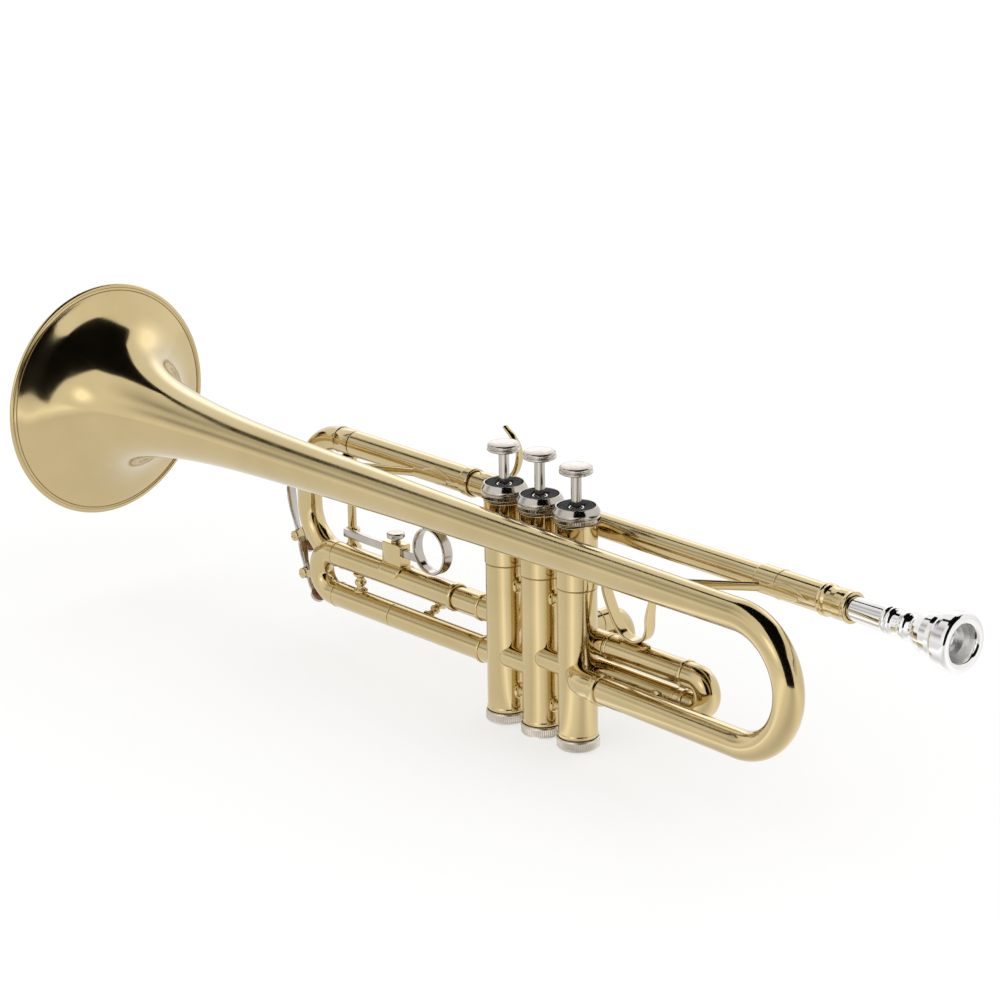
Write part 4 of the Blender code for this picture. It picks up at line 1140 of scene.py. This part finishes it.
def faded(name, value, strength):
    """A glow or a shade that fades out from the middle of its card."""
    made, tree = new_material(name)
    tree.nodes.clear()
    place = node(tree, "ShaderNodeTexCoord", -900, 0)
    ball = node(tree, "ShaderNodeTexGradient", -700, 0, gradient_type="QUADRATIC_SPHERE")
    share = node(tree, "ShaderNodeMath", -500, 0, {1: strength}, operation="MULTIPLY", use_clamp=True)
    clear = node(tree, "ShaderNodeBsdfTransparent", -500, -200)
    glow = node(tree, "ShaderNodeEmission", -500, -400, {"Color": (1, 1, 1, 1), "Strength": value})
    mix = node(tree, "ShaderNodeMixShader", -250, 0)
    out = node(tree, "ShaderNodeOutputMaterial", 0, 0)
    tree.links.new(place.outputs["Object"], ball.inputs["Vector"])
    tree.links.new(ball.outputs["Fac"], share.inputs[0])
    tree.links.new(share.outputs["Value"], mix.inputs["Fac"])
    tree.links.new(clear.outputs["BSDF"], mix.inputs[1])
    tree.links.new(glow.outputs["Emission"], mix.inputs[2])
    tree.links.new(mix.outputs["Shader"], out.inputs["Surface"])
    return made


def round_card(name, place, facing, size, value, strength):
    """A faded card: a square two units wide, stretched to its half sizes."""
    made = card(name, square(1, 0), faded(name + "_tone", value, strength))
    made.location = place
    made.rotation_euler = Vector(facing).to_track_quat("Z", "Y").to_euler()
    made.scale = (*size, 1)


def floor_tone(name, tones):
    """What the metal sees of the floor: grey tones by the direction from the valves, in degrees."""
    made, tree = new_material(name)
    tree.nodes.clear()
    place = node(tree, "ShaderNodeTexCoord", -900, 0)
    fan = node(tree, "ShaderNodeTexGradient", -700, 0, gradient_type="RADIAL")
    ramp = node(tree, "ShaderNodeValToRGB", -500, 0)
    ramp.color_ramp.interpolation = "EASE"
    marks = ramp.color_ramp.elements
    while len(marks) < len(tones):
        marks.new(0.5)
    for mark, (angle, tone) in zip(marks, tones):
        mark.position = (angle + 180) / 360
        mark.color = (tone, tone, tone, 1)
    glow = node(tree, "ShaderNodeEmission", -250, 0)
    out = node(tree, "ShaderNodeOutputMaterial", 0, 0)
    tree.links.new(place.outputs["Object"], fan.inputs["Vector"])
    tree.links.new(fan.outputs["Fac"], ramp.inputs["Fac"])
    tree.links.new(ramp.outputs["Color"], glow.inputs["Color"])
    tree.links.new(glow.outputs["Emission"], out.inputs["Surface"])
    return made


card(
    "black_ceiling",
    [
        (x - 0.3, y, 2.0)
        for x, y in (
            (0.55, -1.0), (-0.1, -0.75), (-0.55, -0.45), (-1.35, 0.0), (-2.0, -0.9), (-2.6, -1.15),
            (-2.65, -0.95), (-2.2, -0.6), (-1.45, 0.3), (-0.71, 0.75), (0.12, 1.34), (0.63, 2.2),
            (1.2, 1.7), (2.2, 1.2), (3.4, 0.2), (3.0, -1.6),
        )
    ],
    black,
)
card("black_wall", [(1.0, -1.0, -0.05), (1.6, 0.0, -0.05), (3.1, 0.2, 2.0), (0.25, -1.0, 2.0)], black)
card(
    "floor_in_the_metal", square(9, base - 0.0002),
    floor_tone(
        "floor_tones",
        (
            (-180, 0.88), (-130, 0.88), (-100, 0.84), (-84, 1.0), (-65, 1.35), (-42, 1.0), (-14, 0.74),
            (12, 1.15), (45, 0.95), (180, 0.88),
        ),
    ),
)
round_card("shade_left", (-2.1, -1.5, 2.05), (0, 0, -1), (2.4, 1.9), 0.0, 0.6)
round_card("shade_low_left", (-2.5, -2.3, 1.2), (2.5, 2.3, -1.2), (2.0, 1.1), 0.0, 0.65)
round_card("glow_front", (0.35, -1.75, 0.66), (-0.5, 1.75, -0.6), (0.72, 0.55), 1.7, 2.2)
round_card("glow_behind", (-0.5, 2.0, 1.0), (0, -2.0, -0.9), (1.1, 1.0), 1.6, 2.0)
round_card("glow_far_left", (-2.3, 2.0, 1.2), (2.3, -2.0, -1.1), (1.6, 1.1), 1.7, 2.0)

scene = bpy.context.scene
world = bpy.data.worlds.new("studio")
world.use_nodes = True
sky = world.node_tree.nodes["Background"]
sky.inputs["Color"].default_value = (1, 1, 1, 1)
sky.inputs["Strength"].default_value = 1.0
scene.world = world
scene.view_settings.view_transform = "Standard"


def softbox(name, place, size, radiance):
    light = bpy.data.lights.new(name, "AREA")
    light.shape = "RECTANGLE"
    light.size, light.size_y = size
    light.energy = radiance * math.pi * size[0] * size[1]
    lamp = bpy.data.objects.new(name, light)
    lamp.location = place
    lamp.rotation_euler = (Vector((0, 0, 0)) - Vector(place)).to_track_quat("-Z", "Y").to_euler()
    lamp.visible_camera = lamp.visible_glossy = False
    scene.collection.objects.link(lamp)


softbox("front_left", (0.5, -2.2, 1.6), (1.2, 1.2), 0.9)
softbox("behind", (-0.4, 2.2, 1.7), (1.4, 1.2), 0.6)

# the camera's direction, place and lens, as solved from the object's straight edges
AZIMUTH, ELEVATION, ROLL = (math.radians(a) for a in (48.616, 17.950, -0.8856))
CAMERA_PLACE = (1.22695, -1.10593, 0.59122)
LENS_MM, SENSOR_MM = 134.1, 36
back = Vector(
    (math.sin(AZIMUTH) * math.cos(ELEVATION), -math.cos(AZIMUTH) * math.cos(ELEVATION), math.sin(ELEVATION))
)
right = (-back).cross(Z).normalized()
up = right.cross(-back).normalized()
tilted_right = right * math.cos(ROLL) + up * math.sin(ROLL)
tilted_up = up * math.cos(ROLL) - right * math.sin(ROLL)
lens = bpy.data.cameras.new("camera")
lens.lens = LENS_MM
lens.sensor_width = SENSOR_MM
camera = bpy.data.objects.new("camera", lens)
turned = Matrix((tilted_right, tilted_up, back)).transposed().to_4x4()
turned.translation = CAMERA_PLACE
camera.matrix_world = turned
scene.collection.objects.link(camera)
scene.camera = camera
